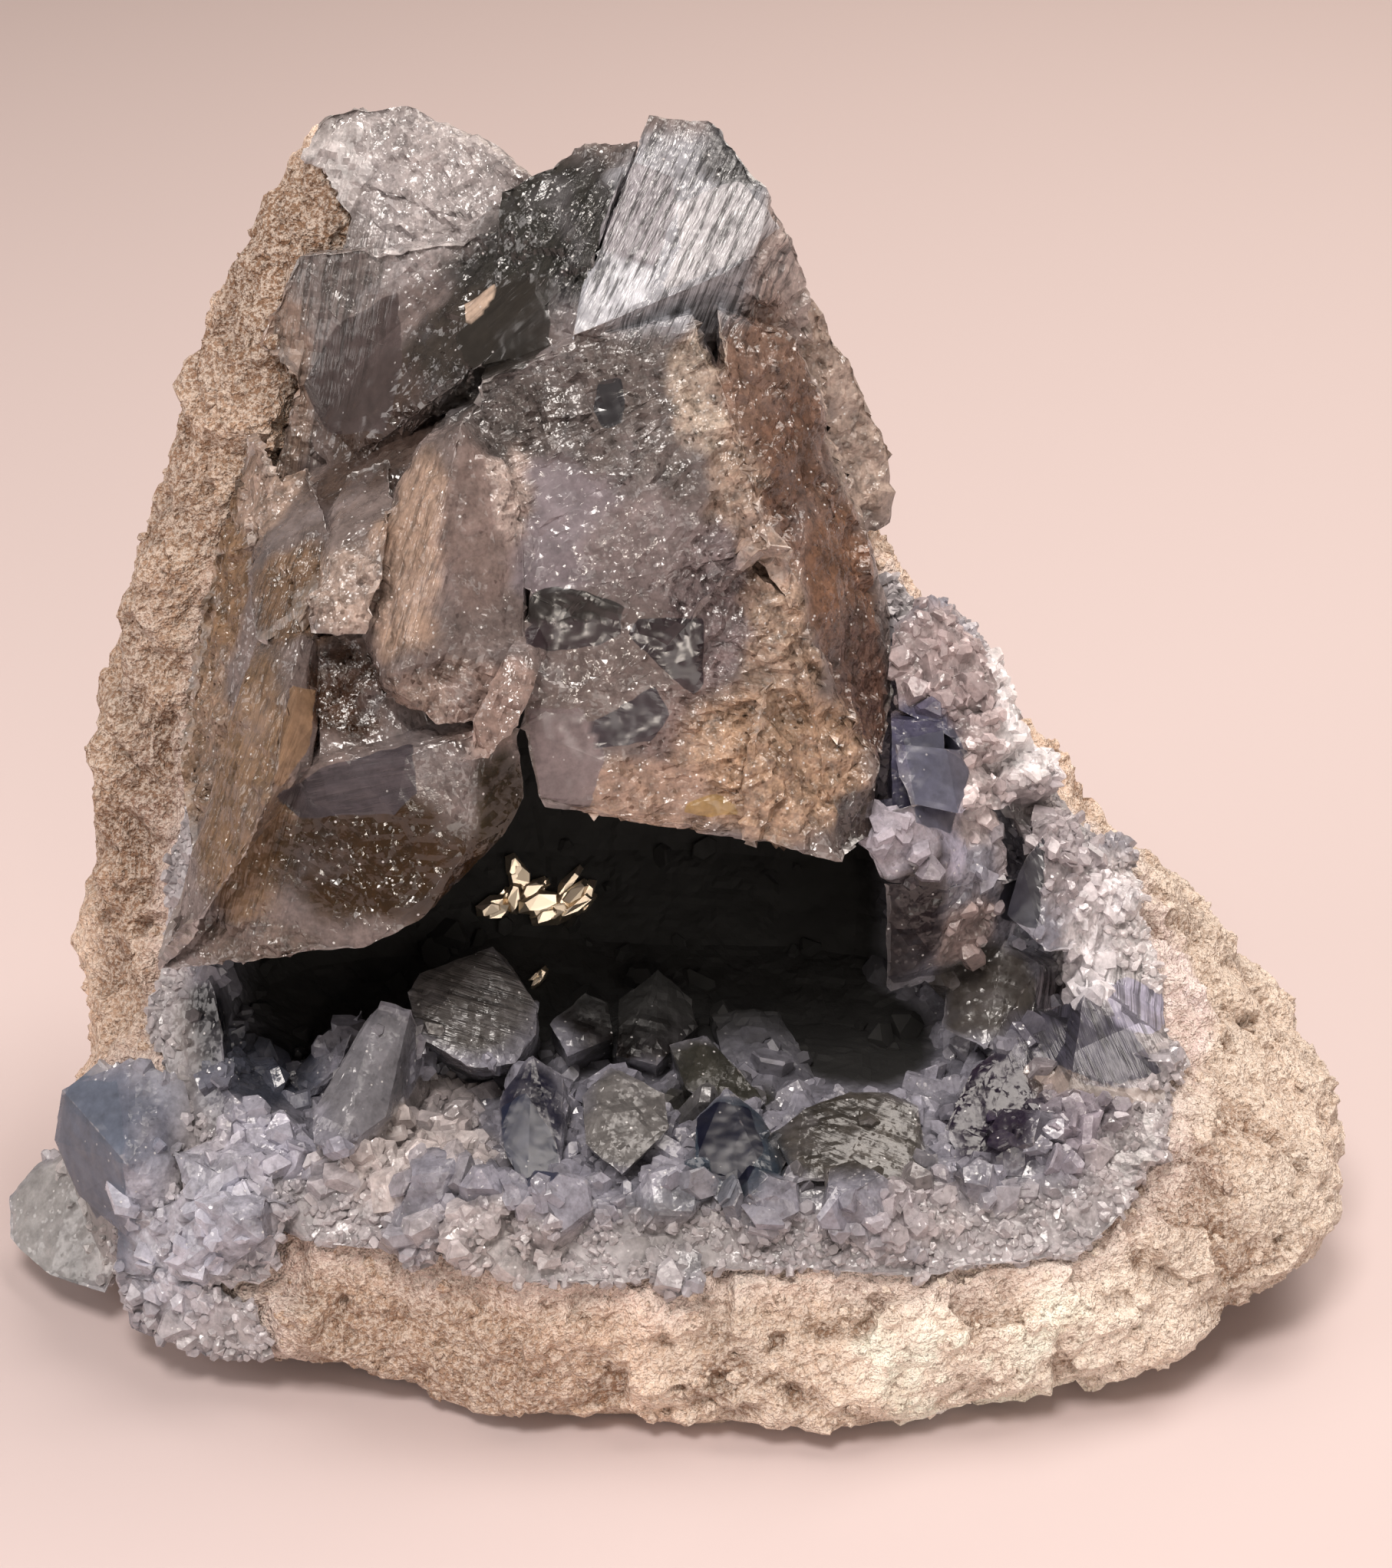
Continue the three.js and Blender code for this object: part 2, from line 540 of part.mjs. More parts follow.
function crustSolid() {
  const blocks = Object.values(CRUST_BLOCKS).map((block) => blockSolid(block));
  const lining = bedSolid().intersect(toSolid(swell(rindForm(), BED_EDGE)));
  return join([lining, ...blocks, ...rimCrystals()]);
}

// Finished pieces
const keepOut = rockSolid(GAP);

function piece(name, solid, color, roughness) {
  const mesh = new THREE.Mesh(
    toGeometry(solid),
    new THREE.MeshStandardMaterial({ color, roughness, metalness: 0 }),
  );
  mesh.name = name;
  return mesh;
}

const group = new THREE.Group();
group.add(piece('matrix', rockSolid(0), 0xd3b79a, 0.95));
group.add(piece('crown_crystals', crownSolid().subtract(keepOut), 0x8d8a8f, 0.25));
group.add(piece('crystal_crust', crustSolid().subtract(keepOut).subtract(crownSolid(GAP)), 0x9aa3b8, 0.3));

export default group;
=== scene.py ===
# Celestite crystal cluster: a broken geode piece with its crumbly rind, smoky crystals and sugary druse.
# The row frame is in metres, +Z up. Places and sizes below are in millimetres, in the same frame.

import math
import random

import bmesh
import bpy
import numpy as np
from mathutils import Color, Matrix, Vector, noise
from mathutils.bvhtree import BVHTree
from mathutils.kdtree import KDTree


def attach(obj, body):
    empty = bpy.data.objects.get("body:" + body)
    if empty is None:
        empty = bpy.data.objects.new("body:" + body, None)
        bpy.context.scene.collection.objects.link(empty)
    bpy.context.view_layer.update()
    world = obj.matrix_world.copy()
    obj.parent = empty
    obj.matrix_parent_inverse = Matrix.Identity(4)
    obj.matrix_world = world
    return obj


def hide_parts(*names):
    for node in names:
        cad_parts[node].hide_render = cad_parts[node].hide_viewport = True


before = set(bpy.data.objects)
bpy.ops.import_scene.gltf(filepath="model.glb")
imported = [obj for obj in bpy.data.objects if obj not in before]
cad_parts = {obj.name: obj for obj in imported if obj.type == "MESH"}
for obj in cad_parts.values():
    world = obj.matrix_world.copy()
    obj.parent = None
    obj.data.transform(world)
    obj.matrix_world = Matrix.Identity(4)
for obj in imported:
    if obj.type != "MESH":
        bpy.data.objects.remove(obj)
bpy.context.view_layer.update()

MM = 0.001
MERGE = 0.001 * MM  # corners nearer than this are one corner

# The noise that shakes the edges of places starts from the clock unless it is given a seed
noise.seed_set(5)

# Camera: the photograph's viewing angle and framing
CAMERA_TARGET = Vector((1.2, 0, 47.07))
CAMERA_ELEVATION = math.radians(25)
CAMERA_DISTANCE = 340
CAMERA_HALF_VIEW = math.radians(12.5)

# Fineness of the surfaces
ROCK_VOXEL = 0.72
CROWN_EDGE = 0.85
CRUST_EDGE = 1.0
REFINE_STEPS = 7
EDGE_ANGLE = math.radians(18)  # facets that meet at more than this have a real edge between them
EDGE_REACH = 1.2  # how far from an edge its wear is felt

# Painted shade: how deep into the hollow its crystals are painted darker, down to nearly black
CAVE_MOUTH_Y = -17
CAVE_DARK_Y = -4
CAVE_TOP_Z = 60
CAVE_LEFT_Z = 44  # the roof is lower under the left blade
CAVE_PIT = ((17, -6, 22), (7.5, 9, 5))  # the deep place at the right of its floor


def rgb(red, green, blue):
    """A colour in the 0 to 255 steps of a screen, as linear light."""
    return np.array(Color((red / 255, green / 255, blue / 255)).from_srgb_to_scene_linear())


# Colours below are as they look in the photograph's warm light, so each is cleared of that light first
LIGHT_GAIN = np.array((0.88, 1.0, 1.08))
HAZE = 0.022  # light that the glossy surface adds to every colour


def own_colour(seen):
    """The colour of the thing itself, from how it looks under the warm lamps."""
    return np.clip((seen - HAZE) * LIGHT_GAIN, 0.003, 0.85)


# Places on the crown crystals: centre, reach each way, colour, how broken the surface is
CROWN_BASE = rgb(130, 112, 106)
CROWN_PLACES = {
    # The summit's pale colours are partly the crystal's own and partly a painted highlight of the key lamp that the
    # face mirrors.
    "summit face": ((-1, -1.5, 102), (12, 8, 10), rgb(180, 172, 173), 0.1),
    "summit shoulder": ((5.5, 3, 109), (4, 5, 4), rgb(128, 122, 120), 0.6),
    "summit right side": ((10, 1, 98), (5, 6, 8), rgb(182, 158, 148), 0.6),
    "pale back ridge": ((16, 8, 84), (8, 8, 15), rgb(190, 162, 146), 0.8),
    "dark valley": ((-13, 4, 99), (11, 8, 9), rgb(64, 61, 58), 0.45),
    "valley foot": ((-21, 0, 90), (9, 7, 8), rgb(70, 63, 59), 0.45),
    "left peak": ((-27, 16, 101), (12, 10, 9), rgb(188, 170, 164), 0.6),
    "peak striae": ((-33, 12, 92), (5, 7, 11), rgb(142, 126, 120), 0.25),
    "long left band": ((-39, 8, 84), (4, 8, 14), rgb(152, 124, 109), 0.5),
    "brown rim": ((-44, 3, 67), (4.5, 9, 11), rgb(146, 113, 89), 0.8),
    "brown rim foot": ((-45.5, -5, 54), (4, 7, 9), rgb(156, 124, 102), 0.9),
    "pale shoulder": ((-39, 2, 76), (4.5, 6, 5), rgb(186, 154, 136), 0.7),
    "dark slope": ((-30, 1, 83), (7, 8, 8), rgb(88, 73, 67), 0.35),
    "pebbly centre": ((-7, -9, 87), (13, 6, 8), rgb(111, 98, 93), 0.75),
    "lilac patch": ((-12, -12.7, 78), (8, 6, 6), rgb(150, 133, 134), 0.1),
    "lilac haze": ((-2, -13, 76), (7, 6, 5), rgb(142, 123, 119), 0.35),
    "ridge top": ((2, -8.5, 90), (3, 4, 6.5), rgb(188, 162, 144), 1),
    "ridge middle": ((5.3, -11.7, 82), (3, 4, 6.5), rgb(178, 147, 128), 1),
    "ridge bend": ((7.6, -12, 74), (3.4, 4, 6.5), rgb(170, 138, 120), 1),
    "ridge foot": ((9, -15, 66.5), (3.6, 4, 6.5), rgb(180, 148, 127), 1),
    "grey band": ((2.4, -15, 71), (3.8, 4, 8), rgb(130, 110, 107), 0.9),
    "grey band foot": ((0, -18, 60), (4, 4, 5), rgb(138, 114, 107), 0.7),
    "brown top": ((8, -5, 89), (5, 7, 8), rgb(134, 104, 90), 0.8),
    "brown middle": ((11, -6, 80), (5.5, 7, 9), rgb(128, 95, 80), 0.8),
    "brown side": ((15.5, -6, 70), (6, 8, 10), rgb(132, 96, 78), 0.8),
    "brown foot": ((17, -8, 61), (5, 7, 8), rgb(110, 83, 73), 0.75),
    "beige fracture": ((8.5, -17, 57), (9, 7, 7), rgb(186, 148, 122), 1),
    "beige sill": ((-3.5, -19.3, 54), (6.5, 4, 4), rgb(178, 143, 124), 0.6),
    "smoky corner": ((16.5, -16, 50), (4, 5, 4), rgb(86, 74, 70), 0.5),
    "tall blade side": ((-24.3, -16, 77), (3.6, 7, 12.5), rgb(190, 155, 134), 0.3),
    "tall blade face": ((-18, -15.5, 79), (4, 5, 9), rgb(142, 119, 111), 0.3),
    "tall blade edge": ((-15, -12.5, 82), (2, 3, 5), rgb(186, 160, 148), 1),
    "tall blade foot": ((-21, -22.5, 65.5), (6, 4, 3.4), rgb(146, 120, 108), 0.9),
    "brown blade": ((-35, -12.5, 72), (4.6, 6, 5), rgb(136, 106, 86), 0.4),
    "white patch": ((-30, -16.4, 74), (3.8, 4, 5), rgb(180, 152, 137), 0.8),
    "left blade side": ((-39.5, -21, 57), (5, 8, 15), rgb(142, 111, 88), 0.3),
    "olive plate": ((-27, -24.5, 51), (11, 4, 6), rgb(68, 53, 41), 0.25),
    "plate foot": ((-40, -25, 42), (7.5, 4, 2.8), rgb(122, 103, 94), 0.7),
    "dark gap": ((-30, -17.5, 64.7), (4, 5, 4.6), rgb(80, 62, 54), 0.9),
    "pink shard": ((-16, -23, 65), (4, 5, 5), rgb(156, 128, 117), 0.5),
    "green plate": ((-15.8, -21.5, 55), (3, 3, 5), rgb(62, 52, 38), 0.1),
}

# Small crystals beside the large ones, each the hull of its corners
CROWN_SHARDS = [
    [(-17.5, 1, 92), (-6.5, -1, 95), (-16.5, 7, 103.4), (-11.7, 8, 106.4), (-8, 8, 108), (-4, 6, 108.4), (-17, 13, 95),
     (-4, 13, 98), (-6.8, 1, 102)],
]
CRUST_SHARDS = [
    [(-58.5, -19, 24.3), (-52, -18, 27.5), (-46.5, -20, 25.9), (-45, -24, 21), (-47, -27, 16), (-52, -27, 12.8),
     (-57, -23, 15), (-59.5, -20, 19.3), (-51, -29, 22), (-56, -12, 18), (-48, -12, 20), (-50, -14, 10)],
    [(19.2, -7, 57), (24.5, -6, 56.5), (19.2, -9.5, 53), (24.5, -10, 52), (19.3, -10.5, 48), (24, -11, 47),
     (19.4, -2, 56), (24.5, 0, 55), (19.4, -2, 46), (24, -2, 45)],
]

# Clear windows in the crown crystals: outline across the view (right, up), nearest and furthest y, colour
CROWN_WINDOWS = {
    # The pale summit windows are partly a painted highlight of the key lamp as well.
    "summit tip": ([(-9.9, 82.3), (-9, 87.8), (-7.1, 89.9), (-2.3, 88.5), (-3.4, 85.7), (-7.1, 83.4)], (-16, 8), rgb(208, 199, 200)),
    "summit middle": ([(-4.8, 98.6), (-1.1, 97.2), (-0.4, 94.5), (-2.3, 88.7), (-7.1, 90.1), (-7.6, 92.6)], (-12, 8), rgb(160, 147, 148)),
    "summit right": ([(-0.7, 94.5), (4.8, 96.8), (9, 92.6), (4.8, 89), (-2.3, 86.2), (-0.2, 90.3)], (-12, 10), rgb(208, 195, 193)),
    "upper": ([(-14, 57), (-14, 59.5), (-11.5, 60.5), (-9, 60), (-5, 58.5), (-5.5, 57.5)], (-18, -12), rgb(26, 22, 29)),
    "under": ([(-14, 57), (-5.5, 57.5), (-5.5, 56), (-7.5, 55), (-12, 54.5), (-14, 55)], (-19, -12), rgb(64, 55, 58)),
    "lined": ([(-4, 57.5), (2, 57.5), (2, 51.5), (1, 50.5), (-2.5, 53.5), (-5, 56)], (-19, -12), rgb(52, 45, 50)),
    "teal": ([(-8.5, 48), (-2.5, 51.5), (-1, 49), (-2.5, 46.5), (-5.5, 46), (-8, 46)], (-21, -14), rgb(64, 58, 64)),
    "drop": ([(-7.5, 78.5), (-5.5, 79), (-5, 76.5), (-5.5, 74.5), (-7, 74), (-8, 76)], (-12, -4), rgb(58, 57, 60)),
    "slate": ([(-36, 41.5), (-32.5, 44), (-24, 46.5), (-23.5, 42), (-25.5, 40), (-34.5, 39.5)], (-30, -18), rgb(82, 74, 77)),
    "valley": ([(-21, 83.5), (-16.5, 88.5), (-12, 88.5), (-12, 82), (-14.5, 79.5), (-19, 79)], (-9, 6), rgb(58, 54, 51)),
    "slope": ([(-32.5, 85.5), (-26.5, 88.5), (-26, 81.5), (-27.5, 75), (-33.5, 75.5), (-36, 80)], (-4, 14), rgb(90, 77, 75)),
    "lilac foot": ([(-14, 49.5), (-9, 49.5), (-7, 45), (-8.5, 40), (-13, 41.5)], (-25, -15), rgb(142, 122, 120)),
    "tan": ([(-34.5, 51.5), (-32.5, 51), (-33, 46), (-35.5, 42), (-36, 43)], (-28, -15), rgb(156, 122, 97)),
    "chip": ([(-20, 86.5), (-17, 88.5), (-17, 86), (-19.5, 84)], (-6, 8), rgb(206, 173, 151)),
    "ochre": ([(0.5, 41), (3, 41.8), (5, 40.8), (5, 39.8), (2, 39.6), (0, 40)], (-22, -15), rgb(180, 140, 92)),
}

# Striated faces of the crown: centre, reach, direction of the lines, strength, spacing
BLADE_LINES = (-0.3, -0.35, -0.88)
CROWN_STRIAE = {
    "summit face": ((-1, -1.5, 102), (13, 9, 11), (-0.41, -0.54, -0.73), 1, 0.75),
    "left peak": ((-33, 12, 92), (6, 8, 12), (-0.19, -0.4, -0.9), 0.7, 0.8),
    "left band": ((-39, 8, 84), (5, 9, 15), (-0.19, -0.4, -0.9), 0.6, 0.9),
    "tall blade": ((-24.3, -16, 77), (4, 8, 13), BLADE_LINES, 0.55, 0.7),
    "left blade": ((-39.5, -21, 57), (6, 9, 16), BLADE_LINES, 0.5, 0.7),
    "brown blade": ((-35, -12.5, 72), (5, 7, 6), BLADE_LINES, 0.7, 0.7),
    "dark valley": ((-13, 4, 99), (12, 9, 10), (-0.75, -0.45, -0.5), 0.35, 1.1),
    "brown side": ((13, -6, 76), (7, 9, 16), (0.45, -0.3, -0.84), 0.35, 0.8),
    "slate strip": ((-28, -23, 58), (9, 4, 2.5), (0.97, 0, 0.2), 0.3, 0.9),
}

# Places on the crust that lines the hollow, in the same terms
CRUST_BASE = rgb(152, 143, 149)
CRUST_PLACES = {
    "left blue crystal": ((-54, -20, 20), (8, 10, 6.5), rgb(116, 116, 128), 0.05),
    "left lilac crystal": ((-47, -18, 24), (5, 5, 3.5), rgb(166, 160, 168), 0.1),
    "lilac cluster": ((-41, -16, 24.5), (7, 6, 4), rgb(94, 93, 102), 0.3),
    "dark cluster": ((-36, -10, 23), (5, 6, 4), rgb(64, 63, 69), 0.2),
    "dark left point": ((-45.5, -16, 29), (3, 5, 3.5), rgb(56, 55, 60), 0.1),
    "lilac slope": ((-40, -28, 22), (6, 6, 5), rgb(184, 173, 180), 0.5),
    "left shoulder": ((-51, -26, 16), (6, 6, 6), rgb(124, 123, 135), 0.05),
    "beige sugar": ((-25, -27, 22), (8, 7, 4), rgb(206, 185, 177), 0.9),
    "pale floor": ((-24, -18, 22), (5, 5, 3), rgb(180, 162, 157), 0.8),
    "dark blue tooth": ((-13.7, -28, 26), (3.6, 7, 5), rgb(60, 58, 67), 0.1),
    "grey tooth": ((-5, -28, 26.5), (5, 7, 4), rgb(112, 104, 100), 0.15),
    "teal tooth": ((5, -30, 24.5), (4.6, 7, 4.5), rgb(72, 77, 85), 0.05),
    "front grey": ((0.5, -37, 20), (7, 5, 4), rgb(130, 125, 129), 0.4),
    "front pale": ((-17, -39, 20), (7, 4, 4), rgb(190, 172, 168), 0.7),
    "front right pale": ((20, -35, 21), (6, 4, 4), rgb(178, 161, 160), 0.7),
    "lilac corner": ((-45, -31, 15), (9, 7, 8), rgb(194, 184, 190), 0.3),
    "pale green corner": ((-60, -16, 8), (8, 9, 6), rgb(178, 168, 163), 0.05),
    "pale point": ((-29, -25, 30), (5, 8, 5), rgb(138, 130, 132), 0.1),
    "striated block": ((-20, -15, 32), (7, 6, 5), rgb(100, 92, 88), 0.1),
    # Painted shade: the points at the back of the hollow are painted dim.
    "dim back points": ((-4, -9, 27), (9, 7, 4), rgb(46, 42, 38), 0.2),
    "olive back": ((3, -18, 25), (7, 4, 4), rgb(76, 72, 66), 0.15),
    "upper right lilac": ((28, -3, 58), (11, 8, 10), rgb(184, 159, 154), 0.6),
    "pink crust": ((27, -10, 36), (4, 5, 4), rgb(176, 149, 141), 0.7),
    "right ledge": ((29, -8, 53), (4, 5, 4), rgb(204, 178, 172), 0.6),
    # Painted light: the blue wall is painted lighter than its own colour, against the crown's shadow on it.
    "blue wall": ((24.5, -12, 47.5), (4, 4, 4), rgb(194, 180, 192), 0.3),
    "grey green crystal": ((29, -9, 29.5), (5.5, 6, 4.5), rgb(86, 78, 73), 0.05),
    "silver striae": ((37, -8, 28.7), (3, 3, 3), rgb(168, 150, 151), 0),
    "striated crystal": ((44, -9, 28), (4, 4, 4), rgb(205, 192, 202), 0.05),
    "slate terrace": ((38.5, -15, 27.5), (7.5, 6, 3), rgb(98, 91, 99), 0.1),
    "terrace edge": ((37, -19.8, 25.3), (7, 2.6, 1.6), rgb(160, 138, 128), 0.6),
    "lilac tooth": ((29, -23, 24.5), (5, 8, 4.5), rgb(54, 48, 58), 0.12),
    "olive block": ((16, -28, 24.5), (8, 8, 4), rgb(90, 82, 76), 0.15),
    "right pale band": ((41, -24, 22), (9, 8, 5), rgb(149, 134, 138), 0.9),
    "right white slope": ((42, -6, 34), (7, 8, 8), rgb(250, 232, 228), 0.8),
    "right grey slope": ((35, -5, 45), (6, 6, 9), rgb(180, 162, 160), 0.6),
    # Painted light: the right upper white and the pink ledge are painted lighter than their own colour, against the
    # shade on them.
    "right upper white": ((32, 3, 53), (6, 9, 6), rgb(255, 236, 230), 0.8),
    "pink ledge": ((28.5, -9, 49), (3, 4, 4), rgb(228, 204, 198), 0.6),
    "dark wall": ((20, -14, 41), (5, 6, 11), rgb(62, 54, 54), 0.2),
    "wall top": ((20.5, -15, 48), (4, 3.5, 3), rgb(182, 166, 170), 0.4),
    "gap crystal": ((21.5, -7, 52), (4, 5.5, 7), rgb(98, 92, 112), 0.15),
}

CRUST_WINDOWS = {
    "blue facet": ([(21, 44.5), (22, 47), (24.5, 46), (24, 42), (23.5, 40), (22, 41)], (-16, 14), rgb(46, 49, 70)),
    "blue skirt": ([(20.5, 47), (25.5, 48), (27, 44), (25, 38), (21.5, 39)], (-16, 14), rgb(98, 95, 108)),
    "dark triangle": ([(34.5, 38.5), (33.5, 29), (30.5, 29.5), (30, 31.5), (32, 35.5)], (-14, -4), rgb(50, 51, 59)),
    "slate terrace": ([(33.5, 20.5), (37.5, 22), (42.5, 19.5), (45, 15.5), (40, 14.5), (34, 16.5)], (-22, -8), rgb(94, 88, 97)),
    "teal heart": ([(1, 12), (3, 13.5), (6, 13), (7.5, 9.5), (5, 6), (1.5, 8)], (-38, -18), rgb(36, 44, 54)),
    "blue heart": ([(-17, 13), (-14.5, 14.5), (-12, 11), (-11, 8), (-13.5, 6), (-16, 8)], (-40, -22), rgb(60, 62, 76)),
    "left heart": ([(-58, 15), (-53, 15), (-51.5, 10), (-51.5, 4), (-56, 1), (-59.5, 5.5)], (-30, -4), rgb(110, 112, 124)),
    "striped face": ([(39.9, 23.6), (43, 24.2), (46.8, 22.2), (47.6, 20.6), (44.5, 18.9), (41.2, 19.6)], (-22, 4),
                     rgb(192, 178, 194)),
    "terrace ledge": ([(34.3, 15.9), (38.5, 14.6), (45.3, 14.2), (45, 13), (39, 13.2), (34.6, 14)], (-28, -8),
                      rgb(176, 153, 142)),
    "mirror": ([(22, 42.5), (23.5, 43.5), (25.5, 43.5), (25, 41.5), (22.5, 40.5)], (-15, -8), rgb(132, 136, 162)),
}

CRUST_STRIAE = {
    "silver striae": ((37, -8, 28.7), (3.5, 3.5, 3.5), (0.2, 0.1, 0.97), 1, 0.8),
    "striated crystal": ((44, -9, 28), (5, 5, 5), (0.15, 0.1, 0.98), 0.9, 0.9),
    "slate terrace": ((38.5, -15, 27.5), (8, 7, 4), (0.35, -0.4, -0.85), 0.8, 0.9),
    "striated block": ((-20, -15, 32), (7, 6, 5), (0.95, 0, -0.3), 0.7, 0.9),
    "olive block": ((16, -28, 24.5), (8, 8, 4), (0.9, 0.1, -0.4), 0.3, 1),
}

# Near the rock the crust is a pale sugar of small crystals
SUGAR_COLOUR = rgb(200, 182, 175)
SUGAR_REACH = 4


# Sampling of points, noise and colour
def unit_ramp(values):
    """0 below 0, 1 above 1, and a smooth rise between."""
    held = np.clip(values, 0, 1)
    return held * held * (3 - 2 * held)


def points_of(mesh):
    """The mesh's corners in millimetres."""
    points = np.zeros(len(mesh.vertices) * 3, np.float32)
    mesh.vertices.foreach_get("co", points)
    return points.reshape(-1, 3).astype(float) / MM


def normals_of(mesh):
    normals = np.zeros(len(mesh.vertices) * 3, np.float32)
    mesh.vertex_normals.foreach_get("vector", normals)
    return normals.reshape(-1, 3).astype(float)


def move_points(mesh, points):
    mesh.vertices.foreach_set("co", (points * MM).astype(np.float32).ravel())
    mesh.update()


def each(points, sample):
    """One value of a noise function for each point."""
    return np.array([sample(Vector(point)) for point in points])


def broken_facets(size, seed):
    """Noise of a broken crystal: cells of one size, each a small plane with a tilt of its own."""
    offset = Vector((seed, seed * 1.7, seed * 2.3))
    half = Vector((0.5, 0.5, 0.5))

    def sample(point):
        place = point / size + offset
        centre = noise.voronoi(place)[1][0]
        tilt = noise.cell_vector(centre * 41) - half
        return (place - centre).dot(tilt)

    return sample


def crease_noise(size, seed):
    """Noise that falls to 0 along the borders between rounded cells of one size."""
    offset = Vector((seed, seed * 0.3, -seed))

    def sample(point):
        nearest = noise.voronoi(point / size + offset)[0]
        return nearest[1] - nearest[0]

    return sample


def lumps(size, octaves, seed):
    """Soft fractal noise from about -1 to 1."""
    offset = Vector((seed, -seed, seed * 0.6))
    return lambda point: noise.fractal(point / size + offset, 0.9, 2.1, octaves)


def cover(points, centre, reach, edge=0.4):
    """1 well inside a place, 0 outside it, and a short ramp at its edge."""
    away = np.linalg.norm((points - np.array(centre)) / np.array(reach), axis=1)
    return unit_ramp((1 - away) / edge + 0.5)


def ragged(points, size, depth, seed):
    """The points shaken about, so that a place painted on them gets a ragged edge."""
    offset = Vector((seed, 2 * seed, 3 * seed))
    return points + depth * each(points, lambda point: noise.turbulence_vector(point / size + offset, 3, False))


def store(mesh, name, values, kind="FLOAT"):
    attribute = mesh.attributes.new(name, kind, "POINT")
    if kind == "FLOAT_COLOR":
        values = np.hstack([values, np.ones((len(values), 1))])
        attribute.data.foreach_set("color", values.astype(np.float32).ravel())
    elif kind == "FLOAT_VECTOR":
        attribute.data.foreach_set("vector", values.astype(np.float32).ravel())
    else:
        attribute.data.foreach_set("value", values.astype(np.float32))


def colour_places(points, base, places):
    """Colour and brokenness of each point, from the named places that cover it."""
    tint = np.tile(base, (len(points), 1))
    broken = np.full(len(points), 0.3)
    for centre, reach, colour, place_broken in places.values():
        share = cover(points, centre, reach)
        tint += share[:, None] * (colour - tint)
        broken += share * (place_broken - broken)
    return tint, broken


def inside_depth(flat, corners):
    """How far each point of the picture plane lies inside an outline; less than 0 outside it."""
    corners = np.array(corners, float)
    nearest = np.full(len(flat), np.inf)
    inside = np.zeros(len(flat), bool)
    for start, end in zip(corners, np.roll(corners, -1, axis=0)):
        edge = end - start
        away = flat - start
        along = np.clip(away @ edge / (edge @ edge), 0, 1)
        nearest = np.minimum(nearest, np.linalg.norm(away - along[:, None] * edge, axis=1))
        if edge[1]:
            crosses = (start[1] > flat[:, 1]) != (end[1] > flat[:, 1])
            inside ^= crosses & (away[:, 0] < away[:, 1] * edge[0] / edge[1])
    return np.where(inside, nearest, -nearest)


def window_depths(points, windows):
    """For each point, how far it lies inside the nearest window and that window's colour."""
    up = points[:, 2] * math.cos(CAMERA_ELEVATION) + points[:, 1] * math.sin(CAMERA_ELEVATION)
    flat = np.stack([points[:, 0], up], axis=1)
    deepest = np.full(len(points), -9.0)
    tint = np.zeros((len(points), 3))
    for corners, (near_y, far_y), colour in windows.values():
        depth = inside_depth(flat, corners)
        depth = np.minimum(depth, np.minimum(points[:, 1] - near_y, far_y - points[:, 1]))
        first = depth > deepest
        deepest = np.maximum(deepest, depth)
        tint[first] = colour
    return deepest, tint


def striae_places(points, striae):
    """For each point, how strongly striated it is and its place across and along the lines."""
    strength = np.zeros(len(points))
    place = np.zeros((len(points), 3))
    view = np.array((0, -math.cos(CAMERA_ELEVATION), math.sin(CAMERA_ELEVATION)))
    for number, (centre, reach, along, amount, spacing) in enumerate(striae.values()):
        share = cover(points, centre, reach, 0.5) * amount
        direction = np.array(along) / np.linalg.norm(along)
        across = np.cross(direction, view)
        across /= np.linalg.norm(across)
        first = share > strength
        strength = np.maximum(strength, share)
        lines = np.stack([points @ across / spacing, points @ direction / (14 * spacing), 0 * strength + number], axis=1)
        place[first] = lines[first]
    return strength, place


def painted_cave_shade(points):
    """How much painted shade each point gets deep in the hollow, from 0 to 1."""
    depth = unit_ramp((points[:, 1] - CAVE_MOUTH_Y) / (CAVE_DARK_Y - CAVE_MOUTH_Y))
    roof = CAVE_LEFT_Z + (CAVE_TOP_Z - CAVE_LEFT_Z) * unit_ramp((points[:, 0] + 28) / 10)
    below_roof = unit_ramp((roof - points[:, 2]) / 6)
    wall_x = 23 - 4 * unit_ramp((points[:, 2] - 38) / 8)
    left_of_wall = unit_ramp((wall_x - points[:, 0]) / 5)
    right_of_rock = unit_ramp((points[:, 0] + 47) / 6)
    return np.maximum(depth * below_roof * left_of_wall * right_of_rock, cover(points, *CAVE_PIT, 0.3))


# Shapes
def merged_copy(node):
    """A CAD node's mesh as a bmesh, with its loose triangles joined."""
    shape = bmesh.new()
    shape.from_mesh(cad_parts[node].data)
    bmesh.ops.remove_doubles(shape, verts=shape.verts, dist=MERGE)
    return shape


def refine(shape, longest):
    """Halves the edges that are longer than this, as often as the longest needs."""
    bmesh.ops.triangulate(shape, faces=shape.faces[:])
    for _ in range(REFINE_STEPS):
        long_edges = [edge for edge in shape.edges if edge.calc_length() > longest * MM]
        bmesh.ops.subdivide_edges(shape, edges=long_edges, cuts=1)
        bmesh.ops.triangulate(shape, faces=[face for face in shape.faces if len(face.verts) > 3])


def number_facets(shape, seed):
    """Joins each flat facet into one face and gives it a random shade, painted reflection from inside the crystal."""
    bmesh.ops.dissolve_limit(shape, angle_limit=math.radians(1), verts=shape.verts, edges=shape.edges)
    shade = shape.faces.layers.float.new("facet")
    draw = random.Random(seed)
    for face in shape.faces:
        face[shade] = draw.random()


